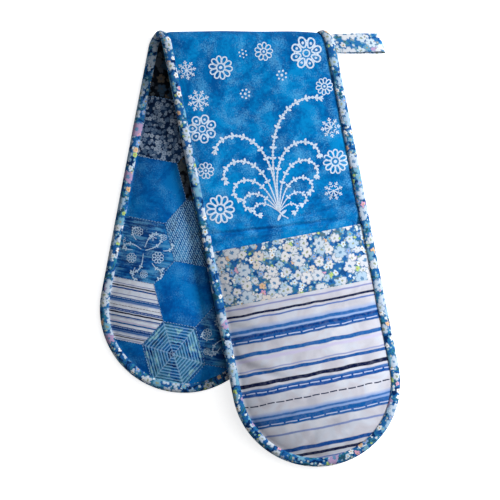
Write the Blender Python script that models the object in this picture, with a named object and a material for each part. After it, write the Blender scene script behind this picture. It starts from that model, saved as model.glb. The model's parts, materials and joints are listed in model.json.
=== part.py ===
"""Double oven glove, folded in half across its middle and lying on a table.

One padded strip with round ends carries a hand pocket on each end. Face A, the printed cloth
with the pockets, is outside the fold; face B, the reverse cloth, is inside it. The front half
lies over the back half, and the two splay apart because the fold runs askew to the strip.

Units are metres, +Z is up, the fold lies along X and both halves run towards -Y. The origin is
at the middle of the footprint, on the table.
"""

import math

import bmesh
import bpy
from mathutils import Matrix, Vector

# The strip, measured flat
STRIP_WIDTH = 0.180
FRONT_LENGTH = 0.475
BACK_LENGTH = 0.395
SPLAY_ANGLE = math.radians(10.8)
FOLD_RADIUS = 0.012
FOLD_SPREAD = 0.004

# Cloth and wadding, at their full thickness and where the binding pinches them
FABRIC = 0.0006
HEAT_LAYER = 0.0008
WADDING = 0.0032
WADDING_PINCHED = 0.0012
POCKET_WADDING = 0.0026
POCKET_WADDING_PINCHED = 0.0010
LAYER_GAP = 0.0003

# The hand pockets
POCKET_DEPTH = 0.247
MOUTH_BAND = 0.060
MOUTH_FACING = 0.012
HAND_ROOM = 0.012

# The binding round the whole edge
BINDING_COVER = 0.010
BINDING_WALL = 0.0008
BINDING_STEP = 0.012
BINDING_ROUND = 0.0030

# How the front half comes down over the back half and onto the table
DRAPE_GAP = 0.0036
LEFT_SETTLE = 0.130
RIGHT_SETTLE = 0.290
TIP_LEAD = 0.015
TIP_LIFT = 0.006
TABLE_GAP = 0.0005

# The hanging loop of folded tape on the front half's right edge
LOOP_START = 0.0070
LOOP_WIDTH = 0.022
LOOP_LENGTH = 0.050
LOOP_TAPE = 0.0010
LOOP_EYE = 0.0086
LOOP_SWELL_SHARE = 0.8
LOOP_SEAT_GAP = 0.0006
LOOP_TWIST = 0.0008

# How finely the soft shapes are divided
ARC_ROW_COUNT = 3
FREE_ROW_COUNT = 4
BAND_ROW_COUNT = 2
BODY_ROW_COUNT = 3
END_ROW_COUNT = 6
LOOP_BEND_ROW_COUNT = 6

# Where the columns lie, as shares of the half width inside the binding
COLUMN_SHARES = (-1.0, -0.866, -0.5, 0.0, 0.5, 0.866, 1.0)
PINCH_POWER = 4
BULGE_POWER = 2
FLAT_SHARE = 0.5

COLOURS = {
    "print_blue": (0.02, 0.22, 0.62),
    "stripe_white": (0.72, 0.70, 0.70),
    "floral_blue": (0.10, 0.25, 0.42),
    "patchwork_blue": (0.03, 0.16, 0.42),
    "lining_blue": (0.03, 0.12, 0.34),
    "cotton_wadding": (0.80, 0.78, 0.72),
    "heat_layer_silver": (0.62, 0.64, 0.66),
}

# Sizes that follow from the ones above
HALF_WIDTH = STRIP_WIDTH / 2
PANEL_HALF = HALF_WIDTH - BINDING_ROUND
PINCH_HALF = HALF_WIDTH - BINDING_COVER - LAYER_GAP
STRIP_HALF = (2 * FABRIC + 3 * LAYER_GAP + HEAT_LAYER + WADDING) / 2
STRIP_HALF_PINCHED = (2 * FABRIC + 3 * LAYER_GAP + HEAT_LAYER + WADDING_PINCHED) / 2
POCKET_STACK = 2 * FABRIC + 2 * LAYER_GAP + POCKET_WADDING
POCKET_STACK_PINCHED = 2 * FABRIC + 2 * LAYER_GAP + POCKET_WADDING_PINCHED
LIP_RISE = BINDING_WALL + LAYER_GAP
ARC_LENGTH = FOLD_RADIUS * math.pi / 2
REST_LEVEL = STRIP_HALF_PINCHED + LIP_RISE
OUTER_RADIUS = FOLD_RADIUS + REST_LEVEL
APEX_SHEAR = math.tan(SPLAY_ANGLE)
ARC_END = ARC_LENGTH / math.cos(SPLAY_ANGLE)
FIRST_ROW = LAYER_GAP / 2 / math.cos(SPLAY_ANGLE)
BACK_TOP = 2 * STRIP_HALF + HAND_ROOM + POCKET_STACK
LEFT_DROP = 2 * FOLD_RADIUS - BACK_TOP - DRAPE_GAP
RIGHT_DROP = 2 * FOLD_RADIUS - TABLE_GAP


class Half:
    """One half of the strip. sign is 1 for the front half, on top, and -1 for the back half."""

    def __init__(self, name, sign, length):
        self.name = name
        self.sign = sign
        self.length = length
        self.mouth = length - POCKET_DEPTH
        self.seam = self.mouth + MOUTH_BAND
        self.end_centre = length - HALF_WIDTH


FRONT = Half("front", 1, FRONT_LENGTH)
BACK = Half("back", -1, BACK_LENGTH)


def smooth(share):
    """0 below 0, 1 above 1, and an easy S between."""
    share = min(1.0, max(0.0, share))
    return share * share * (3 - 2 * share)


def across(half, row, t):
    """The flat place (u, t) of a point of a row. A row is (u on the centre line, shear, turn about
    the round end's centre); u runs along the strip from the fold and t across it."""
    u, shear, turn = row
    if turn:
        return u + abs(t) * math.sin(turn), t * math.cos(turn)
    return u + half.sign * shear * t, t


def edge_share(half, u, t):
    """0 on the centre line and 1 from the binding's lip outwards."""
    beyond = max(0.0, u - half.end_centre)
    return min(1.0, math.hypot(beyond, t) / PINCH_HALF)


def strip_half(half, u, t):
    """Half the strip's thickness, which the binding pinches along the edge."""
    full = 1 - edge_share(half, u, t) ** PINCH_POWER
    return STRIP_HALF_PINCHED + (STRIP_HALF - STRIP_HALF_PINCHED) * full


def pocket_stack(half, u, t):
    """The thickness of the pocket's own layers."""
    full = 1 - edge_share(half, u, t) ** PINCH_POWER
    return POCKET_STACK_PINCHED + (POCKET_STACK - POCKET_STACK_PINCHED) * full


def hollow(half, u, t):
    """The room for a hand between the strip and the pocket's lining."""
    full = 1 - edge_share(half, u, t) ** BULGE_POWER
    return LAYER_GAP + (HAND_ROOM - LAYER_GAP) * full


def pocket_inside(half, u, t):
    """The level of the pocket's lining, from the strip's middle towards face A."""
    return strip_half(half, u, t) + hollow(half, u, t)


def pocket_outside(half, u, t):
    """The level of the pocket's outer face, from the strip's middle towards face A."""
    return pocket_inside(half, u, t) + pocket_stack(half, u, t)


def back_rise(u, t):
    """How far the back half's strip is lifted by the pocket that lies under it."""
    start = ARC_END + HALF_WIDTH * APEX_SHEAR
    zone = smooth((u - start) / (BACK.mouth - start))
    bow = max(0.0, (edge_share(BACK, u, t) - FLAT_SHARE) / (1 - FLAT_SHARE)) ** 2
    return zone * (pocket_outside(BACK, u, t) - REST_LEVEL + LIP_RISE * bow)


def front_rise(u, t, past_arc):
    """How far the front half comes down past the fold: onto the back half along its left edge,
    onto the table along its right edge, and nearly onto the table at its tip."""
    tip_start = BACK_LENGTH - TIP_LEAD
    tip_drop = 2 * FOLD_RADIUS - LEFT_DROP - TIP_LIFT
    tip_run = max(TIP_LEAD, FRONT_LENGTH - tip_start)
    left = -LEFT_DROP * smooth(past_arc / LEFT_SETTLE) - tip_drop * smooth((u - tip_start) / tip_run)
    right = -RIGHT_DROP * smooth(past_arc / RIGHT_SETTLE)
    return left + (right - left) * (t / HALF_WIDTH + 1) / 2


def place(half, u, t, n):
    """The point at flat place (u, t), n above the strip's middle on the side of face A, in a frame
    whose X axis is the middle of the fold."""
    run = u * math.cos(SPLAY_ANGLE) - half.sign * t * math.sin(SPLAY_ANGLE)
    aside = u * math.sin(SPLAY_ANGLE) + FOLD_SPREAD * smooth(run / ARC_LENGTH)
    x = half.sign * aside + t * math.cos(SPLAY_ANGLE)
    if run < ARC_LENGTH:
        angle = run / FOLD_RADIUS
        reach = FOLD_RADIUS + n
        return Vector((x, reach * math.cos(angle), half.sign * reach * math.sin(angle)))
    past_arc = run - ARC_LENGTH
    rise = front_rise(u, t, past_arc) if half is FRONT else back_rise(u, t)
    return Vector((x, -past_arc, half.sign * (FOLD_RADIUS + n) + rise))


def evenly(start, end, count):
    """count values after start, up to and with end."""
    return [start + (end - start) * k / count for k in range(1, count + 1)]


def free_rows(half):
    """The rows from the fold to just short of the pocket's mouth. They start in line with the
    fold and turn square to the strip on the way."""
    arc = [FIRST_ROW, *evenly(FIRST_ROW, ARC_END, ARC_ROW_COUNT)]
    rows = [(u, APEX_SHEAR, 0.0) for u in arc]
    last = half.mouth - BINDING_STEP
    for k, u in enumerate(evenly(ARC_END, last, FREE_ROW_COUNT), 1):
        rows.append((u, APEX_SHEAR * (1 - k / FREE_ROW_COUNT), 0.0))
    return rows


def band_rows(half, start=0.0):
    """The rows of the mouth band, from start past the mouth to its seam with the pocket panel."""
    first = half.mouth + start
    return [(u, 0.0, 0.0) for u in [first, *evenly(first, half.seam, BAND_ROW_COUNT)]]


def body_rows(half, start=0.0):
    """The rows from the band's seam to the tip, the last ones turning about the round end."""
    first = half.seam + start
    rows = [(u, 0.0, 0.0) for u in [first, *evenly(first, half.end_centre, BODY_ROW_COUNT)]]
    rows += [(half.end_centre, 0.0, turn) for turn in evenly(0.0, math.pi / 2, END_ROW_COUNT)]
    return rows


def cross_columns():
    """Places across a row: those inside the binding's lips, and the panel's two edges."""
    return [-PANEL_HALF, *(PINCH_HALF * share for share in COLUMN_SHARES), PANEL_HALF]


def finish(bm, name, material):
    """Closes a shape into a named object of its own."""
    bmesh.ops.recalc_face_normals(bm, faces=bm.faces[:])
    if bm.calc_volume(signed=True) < 0:
        bmesh.ops.reverse_faces(bm, faces=bm.faces[:])
    mesh = bpy.data.meshes.new(name)
    bm.to_mesh(mesh)
    bm.free()
    mesh.shade_smooth()
    mesh.set_sharp_from_angle(angle=math.radians(50))
    mesh.materials.append(material)
    piece = bpy.data.objects.new(name, mesh)
    bpy.context.scene.collection.objects.link(piece)
    return piece


def sheet(name, half, stations, material):
    """A layer of the glove. A flat grid is extruded once, and its two sides are laid on their
    levels. A station is ((row, level), (row, level)), for the two sides of the layer."""
    columns = cross_columns()
    bm = bmesh.new()
    along, wide = len(stations) - 1, len(columns) - 1
    bmesh.ops.create_grid(bm, x_segments=along, y_segments=wide, size=1)
    station_of = bm.verts.layers.int.new("station")
    column_of = bm.verts.layers.int.new("column")
    for vert in bm.verts:
        vert[station_of] = round((vert.co.x + 1) / 2 * along)
        vert[column_of] = round((vert.co.y + 1) / 2 * wide)
        row = stations[vert[station_of]][0][0]
        vert.co = (*across(half, row, columns[vert[column_of]]), 0.0)
    if stations[-1][0][0][2]:
        bmesh.ops.remove_doubles(bm, verts=bm.verts[:], dist=LAYER_GAP / 2)
    lifted = bmesh.ops.extrude_face_region(bm, geom=bm.faces[:])["geom"]
    high_side = {item for item in lifted if isinstance(item, bmesh.types.BMVert)}
    for vert in bm.verts:
        row, level = stations[vert[station_of]][1 if vert in high_side else 0]
        u, t = across(half, row, columns[vert[column_of]])
        vert.co = place(half, u, t, level(half, u, t))
    return finish(bm, name, material)


def layer(rows, low, high):
    """Stations of a plain layer, whose two sides lie over the same rows."""
    return [((row, low), (row, high)) for row in rows]


def offset(level, distance):
    """A level that lies distance beyond another one."""
    return lambda half, u, t: level(half, u, t) + distance


def strip_floor(half, u, t):
    """The level of face B."""
    return -strip_half(half, u, t)


def strip_layers(half, paint):
    """The strip itself: reverse cloth, heat layer, wadding and outer cloth, from face B to face A."""
    rows = free_rows(half) + band_rows(half) + body_rows(half)[1:]
    heat_floor = offset(strip_floor, FABRIC + LAYER_GAP)
    wadding_floor = offset(heat_floor, HEAT_LAYER + LAYER_GAP)
    wadding_top = offset(strip_half, -FABRIC - LAYER_GAP)
    names = {
        "reverse_fabric": (strip_floor, offset(strip_floor, FABRIC), "patchwork_blue"),
        "heat_layer": (heat_floor, offset(heat_floor, HEAT_LAYER), "heat_layer_silver"),
        "wadding": (wadding_floor, wadding_top, "cotton_wadding"),
        "outer_fabric": (offset(strip_half, -FABRIC), strip_half, "print_blue"),
    }
    return [
        sheet(f"{half.name}_{part}", half, layer(rows, low, high), paint[colour])
        for part, (low, high, colour) in names.items()
    ]


def pocket_layers(half, paint):
    """The hand pocket: lining, wadding and striped panel, and the band that wraps its mouth."""
    past_wrap = FABRIC + LAYER_GAP
    past_facing = MOUTH_FACING + LAYER_GAP
    lining_top = offset(pocket_inside, FABRIC)
    wadding_floor = offset(pocket_inside, FABRIC + LAYER_GAP)
    panel_floor = offset(pocket_outside, -FABRIC)
    wadding_top = offset(panel_floor, -LAYER_GAP)
    seam_start = LAYER_GAP
    lining = layer(band_rows(half, past_facing) + body_rows(half)[1:], pocket_inside, lining_top)
    wadding = layer(band_rows(half, past_wrap) + body_rows(half)[1:], wadding_floor, wadding_top)
    panel = layer(body_rows(half, seam_start), panel_floor, pocket_outside)
    mouth, inner, facing = (
        (half.mouth + run, 0.0, 0.0) for run in (0.0, FABRIC, MOUTH_FACING)
    )
    band = layer(band_rows(half)[::-1][:-1], panel_floor, pocket_outside)
    band.append(((inner, panel_floor), (mouth, pocket_outside)))
    band.append(((inner, lining_top), (mouth, pocket_inside)))
    band.append(((facing, lining_top), (facing, pocket_inside)))
    return [
        sheet(f"{half.name}_pocket_lining", half, lining, paint["lining_blue"]),
        sheet(f"{half.name}_pocket_wadding", half, wadding, paint["cotton_wadding"]),
        sheet(f"{half.name}_pocket_striped_panel", half, panel, paint["stripe_white"]),
        sheet(f"{half.name}_pocket_mouth_band", half, band, paint["floral_blue"]),
    ]


def binding_profile(pocketed):
    """The binding's section, a channel open towards the strip: (distance in from the strip's edge,
    level). pocketed is 1 where the pocket's layers are caught in it too, and 0 elsewhere."""
    caught = (LAYER_GAP + POCKET_STACK_PINCHED) * pocketed
    top = STRIP_HALF_PINCHED + caught + LAYER_GAP
    floor = -STRIP_HALF_PINCHED - LAYER_GAP
    roof, base = top + BINDING_WALL, floor - BINDING_WALL
    middle, reach = (roof + base) / 2, (roof - base) / 2
    shoulder = reach * math.sin(math.radians(45))
    nose = BINDING_ROUND * (1 - math.sin(math.radians(45)))
    outer = [
        (BINDING_COVER, roof),
        (BINDING_ROUND, roof),
        (nose, middle + shoulder),
        (0.0, middle),
        (nose, middle - shoulder),
        (BINDING_ROUND, base),
        (BINDING_COVER, base),
    ]
    inner = [
        (BINDING_COVER, floor),
        (BINDING_ROUND, floor),
        (BINDING_WALL, floor + (middle - floor) * FLAT_SHARE),
        (BINDING_WALL, top - (top - middle) * FLAT_SHARE),
        (BINDING_ROUND, top),
        (BINDING_COVER, top),
    ]
    return outer + inner


def edge_binding(half, paint):
    """The cloth binding that runs down one side of a half, round its end and up the other side."""
    rows = free_rows(half) + band_rows(half) + body_rows(half)[1:]
    stations = [(row, -1) for row in rows] + [(row, 1) for row in rows[-2::-1]]

    def ring(row, side):
        pocketed = 1 if row[2] or row[0] >= half.mouth else 0
        points = []
        for inward, level in binding_profile(pocketed):
            u, t = across(half, row, side * (HALF_WIDTH - inward))
            points.append(place(half, u, t, level))
        return points

    bm = bmesh.new()
    face = bm.faces.new([bm.verts.new(point) for point in ring(*stations[0])])
    inner_faces = []
    for station in stations[1:]:
        inner_faces.append(face)
        grown = bmesh.ops.extrude_face_region(bm, geom=[face])["geom"]
        face = next(item for item in grown if isinstance(item, bmesh.types.BMFace))
        for vert, point in zip(face.verts, ring(*station)):
            vert.co = point
    bmesh.ops.delete(bm, geom=inner_faces[1:], context="FACES_ONLY")
    return finish(bm, f"{half.name}_edge_binding", paint["floral_blue"])


def loop_frame():
    """Where the loop is sewn: the seat on the binding's side, and the directions out along the
    tape, along the seat away from the fold, and up from the tape."""
    places = []
    for share, twist in ((0.0, LOOP_TWIST), (0.5, 0.0), (1.0, -LOOP_TWIST)):
        run = LOOP_START + LOOP_WIDTH * share
        u = (run + HALF_WIDTH * math.sin(SPLAY_ANGLE)) / math.cos(SPLAY_ANGLE)
        places.append(place(FRONT, u, HALF_WIDTH, twist))
    along = (places[2] - places[0]).normalized()
    out = Vector((1, 0, 0))
    return places[1], out, along, along.cross(out).normalized()


def loop_path():
    """The middle of the tape from its upper sewn end, round the eye, to its lower one, as
    (distance out, height)."""
    seam = (LOOP_TAPE + LAYER_GAP) / 2
    bend = (LOOP_EYE + LOOP_TAPE) / 2
    bend_centre = LOOP_SEAT_GAP + LOOP_LENGTH - bend - LOOP_TAPE / 2
    start = LOOP_SEAT_GAP
    sewn = start + LOOP_TAPE
    swell = (sewn + bend_centre) / 2
    upper = [(start, seam), (sewn, seam), (swell, bend * LOOP_SWELL_SHARE)]
    turn = [math.pi / 2 - math.pi * k / LOOP_BEND_ROW_COUNT for k in range(LOOP_BEND_ROW_COUNT + 1)]
    round_end = [(bend_centre + bend * math.cos(a), bend * math.sin(a)) for a in turn]
    return upper + round_end + [(x, -z) for x, z in reversed(upper)]


def hanging_loop(paint):
    """A strip of tape folded back on itself, which leaves an eye for a hook."""
    seat, out, along, up = loop_frame()
    path = [Vector(point) for point in loop_path()]
    bm = bmesh.new()
    bmesh.ops.create_grid(bm, x_segments=len(path) - 1, y_segments=1, size=1)
    step_of = bm.verts.layers.int.new("step")
    for vert in bm.verts:
        vert[step_of] = round((vert.co.x + 1) / 2 * (len(path) - 1))
    lifted = bmesh.ops.extrude_face_region(bm, geom=bm.faces[:])["geom"]
    outside = {item for item in lifted if isinstance(item, bmesh.types.BMVert)}
    for vert in bm.verts:
        step = vert[step_of]
        before, after = path[max(0, step - 1)], path[min(len(path) - 1, step + 1)]
        run = (after - before).normalized()
        normal = Vector((-run.y, run.x)) * (LOOP_TAPE / 2)
        x, z = path[step] + (normal if vert in outside else -normal)
        y = vert.co.y * LOOP_WIDTH / 2
        vert.co = seat + out * x + along * y + up * z
    return finish(bm, "hanging_loop", paint["floral_blue"])


def make_material(name, colour):
    """A matt cloth colour."""
    material = bpy.data.materials.new(name)
    material.use_nodes = True
    shader = material.node_tree.nodes["Principled BSDF"]
    shader.inputs["Base Color"].default_value = (*colour, 1.0)
    shader.inputs["Roughness"].default_value = 0.35 if name == "heat_layer_silver" else 0.9
    shader.inputs["Metallic"].default_value = 0.0
    return material


def gather(name, axis_at, pieces, parent=None, parent_at=Vector()):
    """Hangs pieces from an empty that stands on their joint's axis."""
    empty = bpy.data.objects.new(name, None)
    bpy.context.scene.collection.objects.link(empty)
    empty.parent = parent
    empty.location = axis_at - parent_at
    for piece in pieces:
        piece.data.transform(Matrix.Translation(-axis_at))
        piece.parent = empty
    return empty


def main():
    for old in list(bpy.data.objects):
        bpy.data.objects.remove(old)
    paint = {name: make_material(name, colour) for name, colour in COLOURS.items()}
    halves = {}
    for half in (BACK, FRONT):
        halves[half.name] = strip_layers(half, paint) + pocket_layers(half, paint)
        halves[half.name].append(edge_binding(half, paint))
    loop = hanging_loop(paint)

    points = [vert.co for piece in halves["back"] + halves["front"] + [loop] for vert in piece.data.vertices]
    low = Vector(min(point[k] for point in points) for k in range(3))
    high = Vector(max(point[k] for point in points) for k in range(3))
    footprint = Vector(((low.x + high.x) / 2, (low.y + high.y) / 2, low.z))
    for piece in halves["back"] + halves["front"] + [loop]:
        piece.data.transform(Matrix.Translation(-footprint))

    hinge = Vector((0.0, OUTER_RADIUS, 0.0)) - footprint
    seat, out, along, _ = loop_frame()
    pivot = seat + out * (LOOP_SEAT_GAP + LOOP_TAPE) - footprint
    back = gather("back_half", Vector(), halves["back"])
    front = gather("front_half", hinge, halves["front"], back)
    gather("loop", pivot, [loop], front, hinge)
    bpy.context.view_layer.update()
    print("size", [round(value, 5) for value in high - low])
    print("fold hinge at", [round(value, 5) for value in hinge])
    print("loop pivot at", [round(value, 5) for value in pivot], "along", [round(v, 5) for v in along])


main()
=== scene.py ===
"""Looks of the double oven glove: every cloth, tape, patch, print and stitch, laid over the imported
frame. The strip folds over itself; face A carries the pockets, face B the hexagon patchwork.

Metres, +Z up. A place on the flat strip is (u, t): u runs from the fold to a tip, t across it.
"""

import json
import math
import random

import bmesh
import bpy
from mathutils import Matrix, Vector, noise


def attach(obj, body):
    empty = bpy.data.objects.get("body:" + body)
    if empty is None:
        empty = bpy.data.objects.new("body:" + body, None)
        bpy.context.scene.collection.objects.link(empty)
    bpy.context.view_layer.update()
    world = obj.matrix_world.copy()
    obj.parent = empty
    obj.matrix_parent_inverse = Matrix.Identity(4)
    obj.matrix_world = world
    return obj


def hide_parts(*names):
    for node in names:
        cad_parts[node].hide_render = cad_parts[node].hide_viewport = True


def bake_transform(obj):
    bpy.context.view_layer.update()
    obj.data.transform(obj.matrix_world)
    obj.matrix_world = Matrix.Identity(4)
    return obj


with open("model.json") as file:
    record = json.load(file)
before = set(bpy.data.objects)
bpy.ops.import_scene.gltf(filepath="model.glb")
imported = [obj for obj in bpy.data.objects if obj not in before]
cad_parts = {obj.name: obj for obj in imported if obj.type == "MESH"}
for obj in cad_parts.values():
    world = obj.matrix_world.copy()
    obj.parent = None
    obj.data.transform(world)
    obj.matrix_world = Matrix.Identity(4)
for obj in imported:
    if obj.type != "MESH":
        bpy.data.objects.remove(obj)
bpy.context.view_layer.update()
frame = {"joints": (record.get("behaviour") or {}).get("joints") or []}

# The part's own sizes, which its source gives too
STRIP_WIDTH = 0.180
FRONT_LENGTH = 0.475
BACK_LENGTH = 0.395
SPLAY_ANGLE = math.radians(10.8)
FOLD_RADIUS = 0.012
FOLD_SPREAD = 0.004
FABRIC = 0.0006
HEAT_LAYER = 0.0008
WADDING = 0.0032
WADDING_PINCHED = 0.0012
POCKET_WADDING = 0.0026
POCKET_WADDING_PINCHED = 0.0010
LAYER_GAP = 0.0003
POCKET_DEPTH = 0.247
MOUTH_BAND = 0.060
MOUTH_FACING = 0.012
HAND_ROOM = 0.012
BINDING_COVER = 0.010
BINDING_WALL = 0.0008
BINDING_STEP = 0.012
BINDING_ROUND = 0.0030
DRAPE_GAP = 0.0036
LEFT_SETTLE = 0.130
RIGHT_SETTLE = 0.290
TIP_LEAD = 0.015
TIP_LIFT = 0.006
TABLE_GAP = 0.0005
LOOP_START = 0.0070
LOOP_WIDTH = 0.022
LOOP_LENGTH = 0.050
LOOP_TAPE = 0.0010
LOOP_EYE = 0.0086
LOOP_SEAT_GAP = 0.0006
LOOP_TWIST = 0.0008
PINCH_POWER = 4
BULGE_POWER = 2
FLAT_SHARE = 0.5

# Sizes that follow from them
HALF_WIDTH = STRIP_WIDTH / 2
PANEL_HALF = HALF_WIDTH - BINDING_ROUND
PINCH_HALF = HALF_WIDTH - BINDING_COVER - LAYER_GAP
STRIP_HALF = (2 * FABRIC + 3 * LAYER_GAP + HEAT_LAYER + WADDING) / 2
STRIP_HALF_PINCHED = (2 * FABRIC + 3 * LAYER_GAP + HEAT_LAYER + WADDING_PINCHED) / 2
POCKET_STACK = 2 * FABRIC + 2 * LAYER_GAP + POCKET_WADDING
POCKET_STACK_PINCHED = 2 * FABRIC + 2 * LAYER_GAP + POCKET_WADDING_PINCHED
LIP_RISE = BINDING_WALL + LAYER_GAP
ARC_LENGTH = FOLD_RADIUS * math.pi / 2
REST_LEVEL = STRIP_HALF_PINCHED + LIP_RISE
OUTER_RADIUS = FOLD_RADIUS + REST_LEVEL
APEX_SHEAR = math.tan(SPLAY_ANGLE)
ARC_END = ARC_LENGTH / math.cos(SPLAY_ANGLE)
BACK_TOP = 2 * STRIP_HALF + HAND_ROOM + POCKET_STACK
LEFT_DROP = 2 * FOLD_RADIUS - BACK_TOP - DRAPE_GAP
RIGHT_DROP = 2 * FOLD_RADIUS - TABLE_GAP

# How finely the cloth is divided here
SHOWN_STEP = 0.0028
CREASE_STEP = 0.0011
HIDDEN_STEP = 0.0070
TAPE_STEP = 0.0024
FOLD_STEP = 0.0015
REVERSE_STEP = SHOWN_STEP * 1.6
CREASED_LENGTH = 0.052

# The middle of the fold in the frame, from the hinge that stands on the fold's outside
HINGE = next(joint for joint in frame["joints"] if joint["name"] == "fold")
FOLD_MIDDLE = Vector(HINGE["pos_m"]) - Vector((0.0, OUTER_RADIUS, 0.0))

# The photographed halves lie a few mm to the side of the part's: at the fold, and further along
LAID_LEFT = 0.0030
FRONT_SWING = 0.010
BACK_SWING = -0.001

MM = 0.001


class Half:
    """One half of the strip. sign is 1 for the front half, on top, and -1 for the back half."""

    def __init__(self, name, sign, length):
        self.name = name
        self.sign = sign
        self.length = length
        self.mouth = length - POCKET_DEPTH
        self.seam = self.mouth + MOUTH_BAND
        self.end_centre = length - HALF_WIDTH


FRONT = Half("front", 1, FRONT_LENGTH)
BACK = Half("back", -1, BACK_LENGTH)


# Where a flat place comes to lie, as in the part's source


def smooth(share):
    """0 below 0, 1 above 1, and an easy S between."""
    share = min(1.0, max(0.0, share))
    return share * share * (3 - 2 * share)


def across(half, row, t):
    """The flat place of a point of a row. A row is (u on the centre line, shear, turn)."""
    u, shear, turn = row
    if turn:
        return u + abs(t) * math.sin(turn), t * math.cos(turn)
    return u + half.sign * shear * t, t


def edge_share(half, u, t):
    """0 on the centre line and 1 from the binding's lip outwards."""
    beyond = max(0.0, u - half.end_centre)
    return min(1.0, math.hypot(beyond, t) / PINCH_HALF)


def unpinched(half, u, t, pinched, full):
    """A thickness that is full on the centre line and pinched at the edge."""
    return pinched + (full - pinched) * (1 - edge_share(half, u, t) ** PINCH_POWER)


def strip_half(half, u, t):
    """Half the strip's thickness."""
    return unpinched(half, u, t, STRIP_HALF_PINCHED, STRIP_HALF)


def pocket_stack(half, u, t):
    """The thickness of the pocket's layers."""
    return unpinched(half, u, t, POCKET_STACK_PINCHED, POCKET_STACK)


def pocket_inside(half, u, t):
    """The level of the pocket's lining, a little open over the strip."""
    full = 1 - edge_share(half, u, t) ** BULGE_POWER
    return strip_half(half, u, t) + LAYER_GAP + (HAND_ROOM - LAYER_GAP) * full


def pocket_outside(half, u, t):
    return pocket_inside(half, u, t) + pocket_stack(half, u, t)


def back_rise(u, t):
    """How far the pocket under the back half lifts its strip."""
    start = ARC_END + HALF_WIDTH * APEX_SHEAR
    zone = smooth((u - start) / (BACK.mouth - start))
    bow = max(0.0, (edge_share(BACK, u, t) - FLAT_SHARE) / (1 - FLAT_SHARE)) ** 2
    return zone * (pocket_outside(BACK, u, t) - REST_LEVEL + LIP_RISE * bow)


def front_rise(u, t, past_arc):
    """How far the front half comes down past the fold."""
    tip_start = BACK_LENGTH - TIP_LEAD
    tip_drop = 2 * FOLD_RADIUS - LEFT_DROP - TIP_LIFT
    tip_run = max(TIP_LEAD, FRONT_LENGTH - tip_start)
    left = -LEFT_DROP * smooth(past_arc / LEFT_SETTLE) - tip_drop * smooth((u - tip_start) / tip_run)
    right = -RIGHT_DROP * smooth(past_arc / RIGHT_SETTLE)
    return left + (right - left) * (t / HALF_WIDTH + 1) / 2


def place(half, u, t, n):
    """The point at flat place (u, t), n above the strip's middle on the side of face A. Nothing
    goes below the table: what would is flattened on it."""
    run = u * math.cos(SPLAY_ANGLE) - half.sign * t * math.sin(SPLAY_ANGLE)
    aside = u * math.sin(SPLAY_ANGLE) + FOLD_SPREAD * smooth(run / ARC_LENGTH)
    swing = FRONT_SWING if half is FRONT else BACK_SWING
    x = half.sign * aside + t * math.cos(SPLAY_ANGLE) + swing * max(0.0, run) - LAID_LEFT
    if run < ARC_LENGTH:
        angle = run / FOLD_RADIUS
        reach = FOLD_RADIUS + n
        y, z = reach * math.cos(angle), half.sign * reach * math.sin(angle)
    else:
        past_arc = run - ARC_LENGTH
        rise = front_rise(u, t, past_arc) if half is FRONT else back_rise(u, t)
        y, z = -past_arc, half.sign * (FOLD_RADIUS + n) + rise
    point = FOLD_MIDDLE + Vector((x, y, z))
    point.z = max(0.0, point.z)
    return point


# The small shapes of worn, sewn cloth, on top of the part's own levels

DITCH = 0.0009
DITCH_WIDTH = 0.0030
PUCKER_FADE = 0.013
# Pitch and height of the puckers, and height and size (along, across) of slow waves
STRIP_PUCKERS, STRIP_WAVES = (0.010, 0.0017), (0.0006, 0.055, 0.04)
POCKET_PUCKERS, POCKET_WAVES = (0.009, 0.0018), (0.0007, 0.05, 0.035)
PANEL_SEAM_DITCH = 0.0008
PANEL_SEAM_WIDTH = 0.0012
PANEL_FOLD_STRENGTH = 1.4

# A crease in section: a valley and a low roll on either side, as (height, how far off, width), in
# shares of its depth and width
CREASE_FORM = ((-1.0, 0.0, 1.0), (0.55, 2.3, 1.5), (0.35, -2.3, 1.5))
# Creases of the front outer cloth: ends as (u, t), depth and width, in mm
CREASES = (
    ((209.5, -84), (214.5, -24), 2.6, 1.9),
    ((215.0, -30), (218.5, 46), 2.5, 1.8),
    ((210.0, 10), (205.5, 84), 2.0, 2.2),
    ((196.0, 30), (189.5, 84), 2.3, 2.3),
    ((182.0, 14), (171.0, 84), 1.9, 2.7),
    ((201.0, -84), (205.0, -34), 1.2, 2.4),
    ((160.0, 34), (146.0, 84), 1.6, 3.0),
    ((128.0, 52), (112.0, 84), 1.3, 3.0),
    ((150.0, -84), (156.0, -52), 0.8, 3.2),
    ((96.0, -84), (103.0, -54), 0.8, 3.0),
    ((52.0, 50), (44.0, 84), 0.8, 3.2),
)
# Soft folds of the striped panel, as above, with u from the panel's top
PANEL_FOLDS = (
    ((58.0, -84), (84.0, -36), 1.5, 4.2),
    ((20.0, -84), (30.0, -52), 0.9, 3.6),
    ((34.0, 36), (24.0, 84), 1.0, 4.0),
    ((118.0, -84), (106.0, -30), 1.2, 4.4),
    ((142.0, -74), (126.0, -36), 1.0, 3.8),
    ((92.0, 44), (84.0, 84), 0.9, 4.0),
    ((152.0, 20), (136.0, 66), 1.1, 4.2),
    ((170.0, -30), (150.0, -12), 0.9, 3.8),
    ((66.0, 8), (58.0, 48), 0.5, 5.0),
)


def edge_place(half, u, t):
    """How far a flat place is from the binding's lip, and how far along the edge it lies."""
    beyond = u - half.end_centre
    if beyond <= 0:
        return PINCH_HALF - abs(t), u
    return PINCH_HALF - math.hypot(beyond, t), half.end_centre + PINCH_HALF * math.atan2(beyond, abs(t))


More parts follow.
